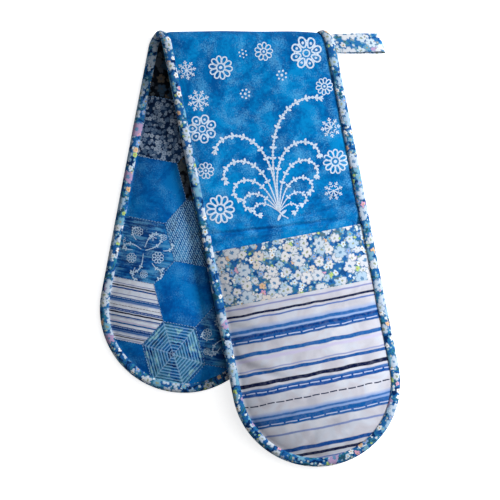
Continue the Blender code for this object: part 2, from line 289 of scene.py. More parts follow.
def puckers(half, u, t, pitch, height):
    """The gathers that the binding's seam leaves, square to the edge and fading inwards."""
    inward, along = edge_place(half, u, t)
    side = 7.0 if t < 0 else 3.0
    wave = noise.noise(Vector((along / pitch, side, half.sign * 5.0)))
    fade = math.exp(-max(0.0, inward) / PUCKER_FADE) * smooth(inward / DITCH_WIDTH)
    return height * wave * fade


def creased(folds, u, t):
    """Height of the creases at a flat place, all in mm."""
    depth = 0.0
    for (u0, t0), (u1, t1), deep, wide in folds:
        run_u, run_t = u1 - u0, t1 - t0
        length = math.hypot(run_u, run_t)
        share = ((u - u0) * run_u + (t - t0) * run_t) / length**2
        if not -0.3 < share < 1.3:
            continue
        ends = smooth((share + 0.3) / 0.4) * smooth((1.3 - share) / 0.4)
        off = ((u - u0) * run_t - (t - t0) * run_u) / length
        off += 1.6 * noise.noise(Vector((t / 19, u0, 1.0)))
        for height, aside, spread in CREASE_FORM:
            depth += ends * deep * height * math.exp(-(((off + aside * wide) / (spread * wide)) ** 2))
    return depth


def waves(u, t, seed, height, along, across_it):
    """Slow waves of the padded cloth."""
    return height * noise.noise(Vector((u / along, t / across_it, seed)))


def still_under_binding(half, u, t):
    """1 inside the lips and 0 from just inside them outwards, so that the tape has its room."""
    return 1 - edge_share(half, u, t) ** 14


def ditch(half, u, t):
    """How far the binding's seam pulls the cloth down, under the tape and just inside its lip."""
    inward, _ = edge_place(half, u, t)
    return DITCH * math.exp(-((max(0.0, inward) / DITCH_WIDTH) ** 2))


def shallow(relief, padding):
    """A relief whose hollows press at most three quarters of the way through its padding."""
    deepest = 0.75 * padding
    return relief if relief > 0 else -deepest * math.tanh(-relief / deepest)


def strip_top(half, u, t):
    """The level of the outer cloth, face A, with its creases and puckers. On the back half, which
    lies on the table, only the hollows are left of them."""
    free = smooth((half.mouth + 0.004 - u) / 0.012)
    relief = puckers(half, u, t, *STRIP_PUCKERS) + waves(u, t, half.sign * 2.0, *STRIP_WAVES)
    if half is FRONT:
        relief += MM * creased(CREASES, u / MM, t / MM)
    else:
        relief = min(0.0, relief)
    relief *= free * still_under_binding(half, u, t)
    padding = 2 * (strip_half(half, u, t) - STRIP_HALF) + WADDING
    return strip_half(half, u, t) + shallow(relief - ditch(half, u, t), padding)


def strip_floor(half, u, t):
    """The level of face B."""
    return -strip_half(half, u, t)


def pocket_top(half, u, t):
    """The level of the pocket's outer face, with its puckers and soft folds: under the back half
    only their hollows, because the pocket lies flat on the table."""
    relief = puckers(half, u, t, *POCKET_PUCKERS) + waves(u, t, 9.0 + half.sign, *POCKET_WAVES)
    relief += PANEL_FOLD_STRENGTH * MM * creased(PANEL_FOLDS, (u - half.seam) / MM, t / MM)
    relief -= PANEL_SEAM_DITCH * math.exp(-(((u - half.seam) / PANEL_SEAM_WIDTH) ** 2))
    relief *= still_under_binding(half, u, t)
    if half is BACK:
        relief = min(0.0, relief)
    padding = pocket_stack(half, u, t) - POCKET_STACK + POCKET_WADDING
    return pocket_outside(half, u, t) + shallow(relief - ditch(half, u, t), padding)


def offset(level, distance):
    """A level that lies distance beyond another one."""
    return lambda half, u, t: level(half, u, t) + distance


# Rows and columns


def evenly(start, end, step):
    """Values from start to end, about a step apart."""
    count = max(1, round(abs(end - start) / step))
    return [start + (end - start) * k / count for k in range(count + 1)]


def free_rows(half, step):
    """Rows from the fold piece to the pocket's mouth, which turn square to the strip on the way.
    They lie closer where the cloth is creased."""
    last = half.mouth - BINDING_STEP
    close = CREASE_STEP if step == SHOWN_STEP else step
    creased_from = half.mouth - CREASED_LENGTH
    places = evenly(ARC_END, creased_from, step) + evenly(creased_from, half.mouth, close)[1:]
    return [(u, APEX_SHEAR * max(0.0, 1 - (u - ARC_END) / (last - ARC_END)), 0.0) for u in places]


def straight_rows(start, end, step):
    return [(u, 0.0, 0.0) for u in evenly(start, end, step)]


def end_rows(half, step):
    """Rows that turn about the round end's centre, as far as its tip."""
    turn_step = step / HALF_WIDTH * 1.4
    return [(half.end_centre, 0.0, turn) for turn in evenly(0.0, math.pi / 2, turn_step)[1:]]


def whole_rows(half, step):
    straight = straight_rows(half.mouth, half.end_centre, step)[1:]
    return free_rows(half, step) + straight + end_rows(half, step)


def fold_rows():
    """(half, row) from the back half's end of the fold to the front half's. The rows are closer at
    the two ends, so that the shading runs on into the flat pieces."""
    arc = evenly(0.0, ARC_END - 0.0002, FOLD_STEP)
    back = [(BACK, (u, APEX_SHEAR, 0.0)) for u in [ARC_END, *arc[:0:-1]]]
    front = [(FRONT, (u, APEX_SHEAR, 0.0)) for u in [*arc, ARC_END]]
    return back + front


def cross_columns(step):
    """Places across a row, with two more under each binding lip."""
    inner = evenly(0.0, PINCH_HALF, step)[1:]
    outer = inner + [(PINCH_HALF + PANEL_HALF) / 2, PANEL_HALF]
    return [-t for t in reversed(outer)] + [0.0] + outer


# Making pieces


def make_object(bm, name, material):
    """Turns a shape into a smooth, named object."""
    mesh = bpy.data.meshes.new(name)
    bm.to_mesh(mesh)
    bm.free()
    mesh.shade_smooth()
    mesh.materials.append(material)
    made = bpy.data.objects.new(name, mesh)
    bpy.context.scene.collection.objects.link(made)
    return made


def close_up(bm, name, material, sharp=50):
    """Turns a closed shape into a named object with its faces outwards."""
    bmesh.ops.recalc_face_normals(bm, faces=bm.faces[:])
    if bm.calc_volume(signed=True) < 0:
        bmesh.ops.reverse_faces(bm, faces=bm.faces[:])
    piece = make_object(bm, name, material)
    piece.data.set_sharp_from_angle(angle=math.radians(sharp))
    return piece


def belongs(piece, half, slot, *nodes):
    """Says which half a piece moves with (None for the fold) and what it stands for, whose
    parts of the frame it hides. slot, its finish, is not used.
    """
    if half is None:
        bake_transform(piece)
    else:
        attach(piece, f"{half.name}_half")
    if nodes:
        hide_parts(*nodes)


def print_mm(half, u, t, start=None):
    """Where a flat place falls on the cloth's print, in mm: unbroken through the fold, or else
    counted from the cloth's own start."""
    return Vector((half.sign * u if start is None else u - start, t, 0.0)) / MM


def station_runs(stations):
    """How far each station is from the first one, along the outside of the cloth."""
    runs = [0.0]
    outside = [place(half, row[0], 0.0, level(half, row[0], 0.0)) for half, _, (row, level) in stations]
    for before, after in zip(outside, outside[1:]):
        runs.append(runs[-1] + (after - before).length)
    return runs


def lay(name, stations, columns, material, print_start=None, wrapped=False):
    """A layer of cloth as a closed slab. A flat grid is extruded once, and its two sides are laid
    on their levels. A station is (half, (row, level), (row, level)) for the two sides. The print
    of a wrapped cloth runs on round its edge. Returns the piece, its flat size and its flat area."""
    runs = station_runs(stations)
    bm = bmesh.new()
    along, wide = len(stations) - 1, len(columns) - 1
    bmesh.ops.create_grid(bm, x_segments=along, y_segments=wide, size=1)
    station_of = bm.verts.layers.int.new("station")
    column_of = bm.verts.layers.int.new("column")
    printed = bm.verts.layers.float_vector.new("cloth")
    for vert in bm.verts:
        vert[station_of] = round((vert.co.x + 1) / 2 * along)
        vert[column_of] = round((vert.co.y + 1) / 2 * wide)
        half, (row, _), _ = stations[vert[station_of]]
        u, t = across(half, row, columns[vert[column_of]])
        vert.co = (half.sign * u, t, 0.0)
    if stations[-1][1][0][2]:
        bmesh.ops.remove_doubles(bm, verts=bm.verts[:], dist=0.00001)
    area = sum(face.calc_area() for face in bm.faces)
    reach = [vert.co.x for vert in bm.verts]
    size = (columns[-1] - columns[0], max(reach) - min(reach))
    lifted = bmesh.ops.extrude_face_region(bm, geom=bm.faces[:])["geom"]
    high_side = {item for item in lifted if isinstance(item, bmesh.types.BMVert)}
    for vert in bm.verts:
        half, low, high = stations[vert[station_of]]
        row, level = high if vert in high_side else low
        u, t = across(half, row, columns[vert[column_of]])
        if wrapped:
            vert[printed] = Vector((half.sign * runs[vert[station_of]], t, 0.0)) / MM
        else:
            vert[printed] = print_mm(half, u, t, print_start)
        vert.co = place(half, u, t, level(half, u, t))
    return close_up(bm, name, material), size, area


def between(half, rows, low, high):
    """Stations of a plain layer, whose two sides lie over the same rows."""
    return [(half, (row, low), (row, high)) for row in rows]


# The hexagons of face B, measured in the photograph: their pitch along the strip and across it, how
# far the corners at the sides lean along the strip, how far those of the outer columns run on to the
# edge, and the middle of one of them on the back half
PATCH_ROW = 0.0655
PATCH_COLUMN = 0.0521
PATCH_LEAN = 0.0041
PATCH_REACH = 0.0365
LATTICE_U = 0.3545
LATTICE_T = -0.0014

# A patch's gap at a seam, how plump it is, how far it stands out at least, its distance from the
# edge, how soft its shoulder is, the size of its ruffles, and the squares across it
PATCH_SEAM = 0.0002
PATCH_PILLOW = 0.0005
PATCH_LIFT = 0.0001
PATCH_MARGIN = 0.001
PATCH_EDGE = 0.0028
RUFFLE_SIZE = 0.011
PATCH_CUTS = 26

# The area below which a cut hexagon is left out
SMALLEST_PATCH = 0.00003


def patch_sides(column):
    """(middle, direction out of it, length) of each side of a patch about its own middle, on the flat
    cloth. In the outer columns a patch has no corner at its outer side but runs on to the edge."""
    end, near, far = PATCH_ROW / 2, PATCH_COLUMN / 3, PATCH_COLUMN * 2 / 3
    right = [(end, near), (-PATCH_LEAN, far), (-end, near)]
    left = [(-end, -near), (PATCH_LEAN, -far), (end, -near)]
    if column > 0:
        right = [(end, PATCH_REACH), (-end, PATCH_REACH)]
    if column < 0:
        left = [(-end, -PATCH_REACH), (end, -PATCH_REACH)]
    corners = [Vector((*corner, 0)) for corner in right + left]
    sides = []
    for start, stop in zip(corners, corners[1:] + corners[:1]):
        run = (stop - start).normalized()
        sides.append(((start + stop) / 2, Vector((run.y, -run.x, 0)), (stop - start).length))
    return sides


# Materials

# What most nodes of a kind are set to
USUAL = {
    "TexNoise": {"noise_dimensions": "2D"},
    "TexWhiteNoise": {"noise_dimensions": "2D"},
    "TexVoronoi": {"voronoi_dimensions": "2D"},
    "Mix": {"data_type": "RGBA"},
}

THREAD_PITCH = 0.9
THREAD_DEPTH = 0.00025


def linear(hex_colour):
    """An sRGB hex colour as the linear colour that Blender takes."""
    parts = [int(hex_colour[k : k + 2], 16) / 255 for k in (1, 3, 5)]
    turned = [c / 12.92 if c <= 0.04045 else ((c + 0.055) / 1.055) ** 2.4 for c in parts]
    return (*turned, 1.0)


def feed(node, *plain, **named):
    """Gives a node's sockets, by their order among those in use or by name, a value each or what
    another node puts out: its first output in use."""
    in_use = [socket for socket in node.inputs if socket.enabled]
    by_name = [(node.inputs[name.replace("_", " ")], value) for name, value in named.items()]
    for socket, value in [*zip(in_use, plain), *by_name]:
        if isinstance(value, bpy.types.Node):
            value = next(output for output in value.outputs if output.enabled)
        if isinstance(value, bpy.types.NodeSocket):
            node.id_data.links.new(value, socket)
        else:
            socket.default_value = value


def add(tree, kind, *feeds, stops=(), **named):
    """Adds one shader node. A kind in capitals is an operation of the Math node. A name with a
    capital feeds that socket, any other name is a setting, and stops are a colour ramp's."""
    if kind.isupper():
        kind, named["operation"] = "Math", kind
    node = tree.nodes.new("ShaderNode" + kind)
    settings = {name: value for name, value in named.items() if name.islower()}
    for name, value in (USUAL.get(kind, {}) | settings).items():
        setattr(node, name, value)
    feed(node, *feeds, **{name: value for name, value in named.items() if name not in settings})
    if stops:
        ramp = node.color_ramp.elements
        for _ in stops[2:]:
            ramp.new(1.0)
        for element, (position, colour) in zip(ramp, stops):
            element.position = position
            element.color = linear(colour)
    return node


def start_material(name):
    """An empty material, its tree, its main shader and the mm place on the print."""
    material = bpy.data.materials.new(name)
    material.use_nodes = True
    tree = material.node_tree
    shader = tree.nodes["Principled BSDF"]
    where = add(tree, "Attribute", attribute_name="cloth").outputs["Vector"]
    return material, tree, shader, where


def weave(tree, shader, where, colour, relief):
    """Finishes a shader as plain woven cotton: soft sheen, no gloss, and threads over and under
    each other, with painted shade in the colour: darker where the threads dip, lighter on their
    crossings. The real threads are 0.3 mm apart; they are drawn 0.9 mm apart so as to show."""
    turns = 2 * math.pi / THREAD_PITCH
    scaled = add(tree, "VectorMath", where, (turns, turns, 0), operation="MULTIPLY")
    split = add(tree, "SeparateXYZ", scaled)
    warp = add(tree, "SINE", split.outputs[0])
    weft = add(tree, "SINE", split.outputs[1])
    crossing = add(tree, "MULTIPLY", warp, weft)
    slub = add(tree, "TexNoise", where, Scale=1 / 2.5, Detail=3.0)
    height = add(tree, "MULTIPLY_ADD", crossing, 0.5, slub)
    bump = add(tree, "Bump", Strength=relief, Distance=THREAD_DEPTH, Height=height)
    # Painted shade of the weave: the colour is darker where the threads dip and lighter on their
    # crossings
    tone = add(tree, "MapRange", crossing, From_Min=-1.0, To_Min=0.93, To_Max=1.04)
    wear_and_thread_shade = add(tree, "Mix", 1.0, colour, tone, blend_type="MULTIPLY")
    feed(shader, Normal=bump, Base_Color=wear_and_thread_shade, Roughness=0.86, Specular_IOR_Level=0.03)
    feed(shader, Sheen_Weight=0.02, Sheen_Roughness=0.5, IOR=1.5)


def cotton(name, paint, *colours, relief=0.35, **sizes):
    """Quilting cotton, quite matt, whose colour is painted by a function."""
    material, tree, shader, where = start_material(name)
    weave(tree, shader, where, paint(tree, where, *colours, **sizes), relief)
    return material


def batik(tree, where, dyes, fleck, cloud=30.0):
    """Hand-dyed batik: clouds of deeper and lighter dye cloud mm across, broken up by a grain 3 mm
    across and by a fine crackle of paler flecks."""
    clouds = add(tree, "TexNoise", where, Scale=1 / cloud, Detail=5.0, Roughness=0.62, Distortion=0.6)
    grain = add(tree, "TexNoise", where, Scale=1 / 3.2, Detail=4.0, Roughness=0.7)
    broken = add(tree, "Mix", 0.34, clouds, grain, data_type="FLOAT")
    dye = add(tree, "ValToRGB", broken, stops=list(zip((0.38, 0.50, 0.60, 0.75), (*dyes, dyes[-1]))))
    specks = add(tree, "TexNoise", where, Scale=1 / 1.5, Detail=4.0, Roughness=0.75)
    patches = add(tree, "TexNoise", where, Scale=1 / 17.0, Detail=3.0)
    both = add(tree, "MULTIPLY", specks, patches)
    share = add(tree, "MapRange", both, From_Min=0.25, From_Max=0.42, To_Max=0.55)
    return add(tree, "Mix", share, dye, linear(fleck))


# Stripes of the panel: distance from its top, width, how far the colour bleeds, colour and, for a
# broken one, the dash's length and the pitch of the dashes, all in mm
STRIPES = (
    (4.1, 1.6, 0.7, "#838ab8"), (11.9, 2.3, 0.4, "#06163c"), (16.4, 1.6, 0.6, "#526ead"),
    (29.6, 8.6, 4.6, "#8ea7d4"), (29.0, 3.2, 1.0, "#2560a5"), (37.6, 9.0, 1.0, "#0f4f95"),
    (35.0, 2.0, 1.2, "#053578"), (39.6, 1.0, 0.5, "#b4c0e0", 12.0, 14.2), (53.9, 3.9, 0.8, "#16599e"),
    (59.4, 3.0, 2.2, "#c0bcda"), (71.0, 1.5, 0.8, "#8e96be"), (74.8, 3.1, 0.6, "#165095"),
    (86.1, 3.8, 0.5, "#051339"), (92.6, 3.0, 1.2, "#3062a4"), (95.8, 5.4, 0.9, "#0f4891"),
    (94.9, 1.0, 0.5, "#b4c0e0", 9.5, 11.5), (108.3, 1.2, 0.3, "#0c1d42", 8.0, 9.6),
    (122.6, 7.4, 4.0, "#7f9ccf"), (122.0, 2.0, 0.8, "#3265a7"), (129.6, 7.9, 1.0, "#13569c"),
    (131.0, 1.0, 0.5, "#b4c0e0", 12.5, 14.8), (143.7, 2.0, 1.0, "#7385b8"), (161.9, 3.9, 0.7, "#114992"),
    (169.7, 3.1, 0.5, "#07173e"), (176.4, 1.6, 0.7, "#5670ad"),
)


def stripes(tree, where, ground, scale=1.0, bold=1.0):
    """Hand-drawn stripes: off-white ground with a breath of lilac, blue and ink lines of uneven
    width that bleed a little. scale is the size of the print, and bold how much wider its lines
    are."""
    drawn = add(tree, "VectorMath", where, 1 / scale, operation="SCALE")
    split = add(tree, "SeparateXYZ", drawn)
    wander = add(tree, "TexNoise", drawn, Scale=1 / 17.0, Detail=2.0, Roughness=0.4)
    shake = add(tree, "MapRange", wander, To_Min=-1.1, To_Max=1.1)
    down = add(tree, "ADD", split.outputs[0], shake)
    clouds = add(tree, "TexNoise", drawn, Scale=1 / 24.0, Detail=4.0, Distortion=0.4)
    colour = add(tree, "ValToRGB", clouds, stops=list(zip((0.3, 0.46, 0.56, 0.7), ground)))
    for middle, width, bleed, hue, *broken in STRIPES:
        off = add(tree, "SUBTRACT", down, middle)
        away = add(tree, "ABSOLUTE", off)
        solid, gone = (bold * width - bleed) / 2, (bold * width + bleed) / 2
        mask = add(tree, "MapRange", away, solid, gone, 1.0, 0.0)
        if broken:
            dash, pitch = broken
            moved = add(tree, "ADD", split.outputs[1], middle * 3.7)
            uneven = add(tree, "MULTIPLY_ADD", shake, 1.6, moved)
            beat = add(tree, "FLOORED_MODULO", uneven, pitch)
            lit = add(tree, "LESS_THAN", beat, dash)
            mask = add(tree, "MULTIPLY", mask, lit)
        colour = add(tree, "Mix", mask, colour, linear(hue))
    faded = add(tree, "TexNoise", drawn, Scale=1 / 5.0, Detail=5.0, Roughness=0.7)
    share = add(tree, "MapRange", faded, From_Min=0.42, From_Max=0.68, To_Max=0.10)
    return add(tree, "Mix", share, colour, linear("#b9c0d4"))


def flowers(tree, where, under, size, share, petals, tints, shift, line, heart="#e9d9a8"):
    """A scatter of small flowers over the colour under, size mm apart, share of the places filled.
    Each has that many petals, a heart, a thin drawn outline and one of the tints."""
    moved = add(tree, "VectorMath", where, (shift, -shift, 0), operation="ADD")
    cells = add(tree, "TexVoronoi", moved, Scale=1 / size, Randomness=0.8)
    chance = add(tree, "SeparateColor", cells.outputs["Color"]).outputs
    from_heart = add(tree, "VectorMath", moved, cells.outputs["Position"], operation="SUBTRACT")
    apart = add(tree, "VectorMath", from_heart, operation="LENGTH")
    split = add(tree, "SeparateXYZ", from_heart)
    angle = add(tree, "ARCTAN2", split.outputs[1], split.outputs[0])
    turned = add(tree, "MULTIPLY_ADD", chance[1], 6.0, angle)
    swing = add(tree, "MULTIPLY", turned, petals / 2)
    wave = add(tree, "COSINE", swing)
    folded = add(tree, "ABSOLUTE", wave)
    lobe = add(tree, "POWER", folded, 0.55)
    reach = add(tree, "MapRange", chance[0], To_Min=0.36 * size, To_Max=0.56 * size)
    edge = add(tree, "MapRange", lobe, To_Min=0.52, To_Max=1.0)
    radius = add(tree, "MULTIPLY", reach, edge)
    inside = add(tree, "LESS_THAN", apart, radius)
    filled = add(tree, "LESS_THAN", chance[2], share)
    mask = add(tree, "MULTIPLY", inside, filled)
    tint = add(tree, "ValToRGB", chance[1], stops=tints)
    tint.color_ramp.interpolation = "CONSTANT"
    depth = add(tree, "DIVIDE", apart, radius)
    drawn = add(tree, "MapRange", depth, From_Min=0.80, From_Max=0.97, To_Max=0.85)
    outlined = add(tree, "Mix", drawn, tint, linear(line))
    middle = add(tree, "LESS_THAN", depth, 0.27)
    hearted = add(tree, "Mix", middle, outlined, linear(heart))
    return add(tree, "Mix", mask, under, hearted)


# The flowers' colours, with the share of chance at which each begins
BAND_PALE = [
    (0.0, "#c8ced8"), (0.34, "#d4d5da"), (0.56, "#bccad9"), (0.74, "#d2ccc8"), (0.84, "#a6c0d6")
]
LOOP_PALE = [
    (0.0, "#e2e8f0"), (0.34, "#dde5f0"), (0.56, "#cfe0f0"), (0.74, "#c3a3cc"), (0.84, "#d2e4f2")
]
TAPE_PALE = [
    (0.0, "#b4c4d6"), (0.34, "#98b6d0"), (0.56, "#c1ccd8"), (0.74, "#6ea3be"), (0.90, "#aa93b8")
]
DITSY = [(0.0, "#98abc4"), (0.34, "#7289a8"), (0.56, "#adbdd2"), (0.80, "#526c8c")]
# The leaf cloth's dim tints are its print and partly painted shade: darker than the cloth itself, for the
# shade it lies in under the front half
LEAF = [(0.0, "#50575b"), (0.35, "#5e554b"), (0.55, "#344c63"), (0.8, "#424954")]
BRIGHT = [
    (0.0, "#c5d7e6"), (0.26, "#6aa5c4"), (0.44, "#cf9db8"), (0.50, "#a8c878"), (0.56, "#d6b394"),
    (0.63, "#86a4d2"), (0.78, "#dfe4ea"),
]
LEAFY = [
    (0.0, "#5f9ab8"), (0.30, "#c7d8e6"), (0.50, "#93b56c"), (0.56, "#3f7fb0"), (0.84, "#8a9aa4")
]


def hand_drawn(tree, where, amount):
    """The place on the print, moved about by up to amount mm, so that drawn shapes come uneven."""
    shake = add(tree, "TexNoise", where, Scale=1 / 3.5, Detail=2.0)
    middle = add(tree, "VectorMath", shake.outputs["Color"], (0.5, 0.5, 0.5), operation="SUBTRACT")
    scaled = add(tree, "VectorMath", middle, 2 * amount, operation="SCALE")
    return add(tree, "VectorMath", where, scaled, operation="ADD")


def packed_flowers(tree, where, ground, heads, line, filled):
    """Fine lawn's print of packed flowers, up to 15 mm across: pale heads with drawn edges over blue
    and teal, with a few pink, lime and peach ones between them. filled gives the share of small,
    middling and large ones."""
    patches = add(tree, "TexNoise", where, Scale=1 / 8.0, Detail=2.0, Distortion=0.8)
    dark, clear, teal, grey = ground
    stops = [(0.36, dark), (0.44, clear), (0.54, clear), (0.60, teal), (0.66, grey)]
    colour = add(tree, "ValToRGB", patches, stops=stops)
    small, middling, large = filled
    loose = hand_drawn(tree, where, 0.9)
    colour = flowers(tree, loose, colour, 4.2, small, 5, LEAFY, 31.0, line=line)
    colour = flowers(tree, loose, colour, 7.4, middling, 5, BRIGHT, 12.0, heart="#b89a5e", line=line)
    loose = hand_drawn(tree, where, 1.8)
    colour = flowers(tree, loose, colour, 11.5, large, 5, heads, 93.0, heart="#8f9a86", line=line)
    return flowers(tree, loose, colour, 17.0, large * 0.8, 6, heads, 57.0, heart="#5f87ad", line=line)


def tiny_flowers(tree, where, ground, tints, size, line):
    """Lawn's print of one kind of tiny flower, close together on a dark ground."""
    cloud = add(tree, "TexNoise", where, Scale=1 / 7.0)
    colour = add(tree, "ValToRGB", cloud, stops=list(zip((0.35, 0.65), ground)))
    loose = hand_drawn(tree, where, size / 9)
    heart = tints[-1][1]
    colour = flowers(tree, loose, colour, size * 0.62, 0.7, 5, tints, 20.0, heart=heart, line=line)
    return flowers(tree, loose, colour, size, 0.8, 5, tints, 3.0, heart=heart, line=line)


def streaks(tree, where):
    """Batik brushed with streaks of deeper and paler dye, 3 mm wide and 25 mm long, that run
    across the strip."""
    colour = batik(tree, where, ("#04397e", "#0b58a6", "#2a83c4"), "#7fbde2")
    drawn_out = add(tree, "VectorMath", where, (1 / 3.0, 1 / 25.0, 0), operation="MULTIPLY")
    brush = add(tree, "TexNoise", drawn_out, Scale=1.0, Detail=4.0)
    for low, high, hue in ((0.52, 0.64, "#06306c"), (0.47, 0.36, "#5fa3d0")):
        share = add(tree, "MapRange", brush, From_Min=low, From_Max=high, To_Max=0.7)
        colour = add(tree, "Mix", share, colour, linear(hue))
    return colour


def hatching(tree, where):
    """A print like woven denim: uneven rows of pale strokes over blue, the rows 2.1 mm apart and the
    strokes 4.5 mm long."""
    loose = hand_drawn(tree, where, 0.8)
    slanted = add(tree, "Mapping", loose, Rotation=(0, 0, math.radians(38)))
    split = add(tree, "SeparateXYZ", slanted)
    row = add(tree, "MULTIPLY", split.outputs[1], 1 / 2.1)
    row_number = add(tree, "FLOOR", row)
    jump = add(tree, "MULTIPLY_ADD", row_number, 3.77, split)
    beat = add(tree, "FLOORED_MODULO", jump, 5.6)
    dash = add(tree, "LESS_THAN", beat, 4.5)
    in_row = add(tree, "FRACT", row)
    inked = add(tree, "COMPARE", in_row, 0.5, 0.24)
    mask = add(tree, "MULTIPLY", dash, inked)
    base = batik(tree, where, ("#082f66", "#16549a", "#2f80bc"), "#7cb6de", cloud=18.0)
    return add(tree, "Mix", mask, base, linear("#8fbfe2"))


def ringed_hexagon(tree, where):
    """A patch's print of fine hexagon rings 3.2 mm apart and six spokes. Each side of each ring has
    its own shade between deep blue, violet and pale teal."""
    loose = hand_drawn(tree, where, 0.5)
    sizes, sector = [], 0.0
    for k, (middle, away, _) in enumerate(patch_sides(0)[:3]):
        side = tuple(away * (PATCH_ROW / 2 / middle.dot(away)))
        along = add(tree, "VectorMath", loose, side, operation="DOT_PRODUCT")
        sizes.append(add(tree, "ABSOLUTE", along))
        turned = add(tree, "SIGN", along)
        sector = add(tree, "MULTIPLY_ADD", turned, 3.0**k, sector)
    larger = add(tree, "MAXIMUM", sizes[0], sizes[1])
    smaller = add(tree, "MINIMUM", sizes[0], sizes[1])
    capped = add(tree, "MINIMUM", larger, sizes[2])
    second = add(tree, "MAXIMUM", smaller, capped)
    reach = add(tree, "MAXIMUM", larger, sizes[2])
    inner = add(tree, "SUBTRACT", reach, second)
    mirrored = add(tree, "CombineXYZ", reach, inner)
    patches = add(tree, "TexNoise", mirrored, Scale=1 / 7.0, Detail=4.0, Roughness=0.6)
    ring = add(tree, "MULTIPLY", reach, 1 / 3.2)
    ring_number = add(tree, "FLOOR", ring)
    own = add(tree, "TexWhiteNoise", add(tree, "CombineXYZ", ring_number, sector))
    lean = add(tree, "MapRange", own, To_Min=-0.15, To_Max=0.15)
    toned = add(tree, "ADD", patches, lean)
    stops = [
        (0.34, "#03265e"), (0.42, "#0a549c"), (0.48, "#1c7fc2"), (0.54, "#1460a8"),
        (0.60, "#3a4ea4"), (0.66, "#52a8ca"), (0.74, "#9cc6cc"),
    ]
    colour = add(tree, "ValToRGB", toned, stops=stops)
    side_tint = add(tree, "TexNoise", where, Scale=1 / 22.0)
    share = add(tree, "MapRange", side_tint, From_Min=0.46, From_Max=0.60, To_Max=0.42)
    colour = add(tree, "Mix", share, colour, linear("#5fa6bb"))
    in_ring = add(tree, "FRACT", ring)
    deep = add(tree, "COMPARE", in_ring, 0.72, 0.13)
    line = add(tree, "COMPARE", in_ring, 0.30, 0.16)
    spoke = add(tree, "LESS_THAN", inner, 0.55)
    for mask, weight, hue in ((deep, 0.5, "#021b4c"), (line, 0.5, "#9ccdf2"), (spoke, 0.4, "#a9c8ea")):
        share = add(tree, "MULTIPLY", mask, weight)
        colour = add(tree, "Mix", share, colour, linear(hue))
    return colour


def ink(tree, where, colour):
    """Pigment print: pale, and worn thin enough in places for the cloth to show through."""
    wear_and_thread_shade = add(tree, "TexNoise", where, Scale=1 / 1.4, Detail=3.0)
    return add(tree, "ValToRGB", wear_and_thread_shade, stops=[(0.30, "#93bbe4"), (0.46, colour), (0.7, colour)])


def plain_dye(tree, where, deep, light):
    """One colour that took a little unevenly, in clouds 15 mm across."""
    cloud = add(tree, "TexNoise", where, Scale=1 / 15.0, Detail=4.0)
    return add(tree, "ValToRGB", cloud, stops=[(0.35, deep), (0.65, light)])


def needled_wadding(name):
    """Needled cotton wadding: loose fibres, cream with darker seed flecks."""
    material, tree, shader, where = start_material(name)
    fibre = add(tree, "TexNoise", where, Scale=1 / 1.8, Detail=6.0, Distortion=2.0)
    tone = add(tree, "ValToRGB", fibre, stops=[(0.3, "#cfc6b2"), (0.55, "#e8e2d2")])
    bump = add(tree, "Bump", Strength=0.7, Distance=0.0006, Height=fibre)
    feed(shader, Base_Color=tone, Normal=bump, Roughness=1.0, Sheen_Weight=0.4)
    return material


def metallised_felt(name):
    """Needled polyester faced with a vapour-metallised film: dull silver with a dimple per needle,
    2 mm apart."""
    material, tree, shader, where = start_material(name)
    dimple = add(tree, "TexVoronoi", where, Scale=1 / 2.0, Randomness=0.3)
    bump = add(tree, "Bump", Strength=0.5, Distance=0.0004, Height=dimple)
    tone = add(tree, "ValToRGB", dimple, stops=[(0.0, "#8e9399"), (0.5, "#c3c8cc")])
    feed(shader, Base_Color=tone, Normal=bump, Metallic=0.7, Roughness=0.42)
    return material


def sewing_thread(name, deep, light):
    """Spun polyester thread: a fine twist, a little brighter than the cotton."""
    material, tree, shader, where = start_material(name)
    twist = add(tree, "TexNoise", where, Scale=2.5)
    tone = add(tree, "ValToRGB", twist, stops=[(0.38, deep), (0.6, light)])
    feed(shader, Base_Color=tone, Roughness=0.55)
    return material


BATIK = cotton("batik_dyed_cotton", batik, ("#00549a", "#0070b7", "#0486cb"), "#62b4e6")
STRIPED = cotton(
    "stripe_printed_cotton", stripes, ("#b4b5c1", "#c2c2cd", "#c3c9d7", "#cfd1db"), bold=1.08
)
BAND_FLORAL = cotton(
    "flower_printed_lawn", packed_flowers, ("#164880", "#2461a2", "#33738e", "#4f6a7a"), BAND_PALE,
    "#45698f", (0.6, 0.62, 0.74), relief=0.25,
)
TAPE_FLORAL = cotton(
    "flower_printed_tape", packed_flowers, ("#072a58", "#1d5a9a", "#318099", "#264f66"), TAPE_PALE,
    "#3d6d9e", (0.42, 0.38, 0.44), relief=0.25,
)
LOOP_FLORAL = cotton(
    "flower_printed_loop_tape", packed_flowers, ("#17559a", "#2f78b8", "#4595ae", "#45707f"), LOOP_PALE,
    "#6f95bd", (0.5, 0.5, 0.9), relief=0.25,
)
LINING = cotton("plain_dyed_lining", plain_dye, "#0d2f63", "#154584")
WADDING_FELT = needled_wadding("needled_cotton_wadding")
HEAT_CLOTH = metallised_felt("metallised_needled_felt")
SEAM_CLOTH = cotton("dark_seam_cotton", plain_dye, "#081d42", "#10305f")
PRINT = cotton("pale_pigment_print", ink, "#d2e0f2")
FINE_PRINT = cotton("fine_pigment_print", ink, "#c4dff8")
PALE_THREAD = sewing_thread("pale_blue_thread", "#5f90c6", "#86b2de")

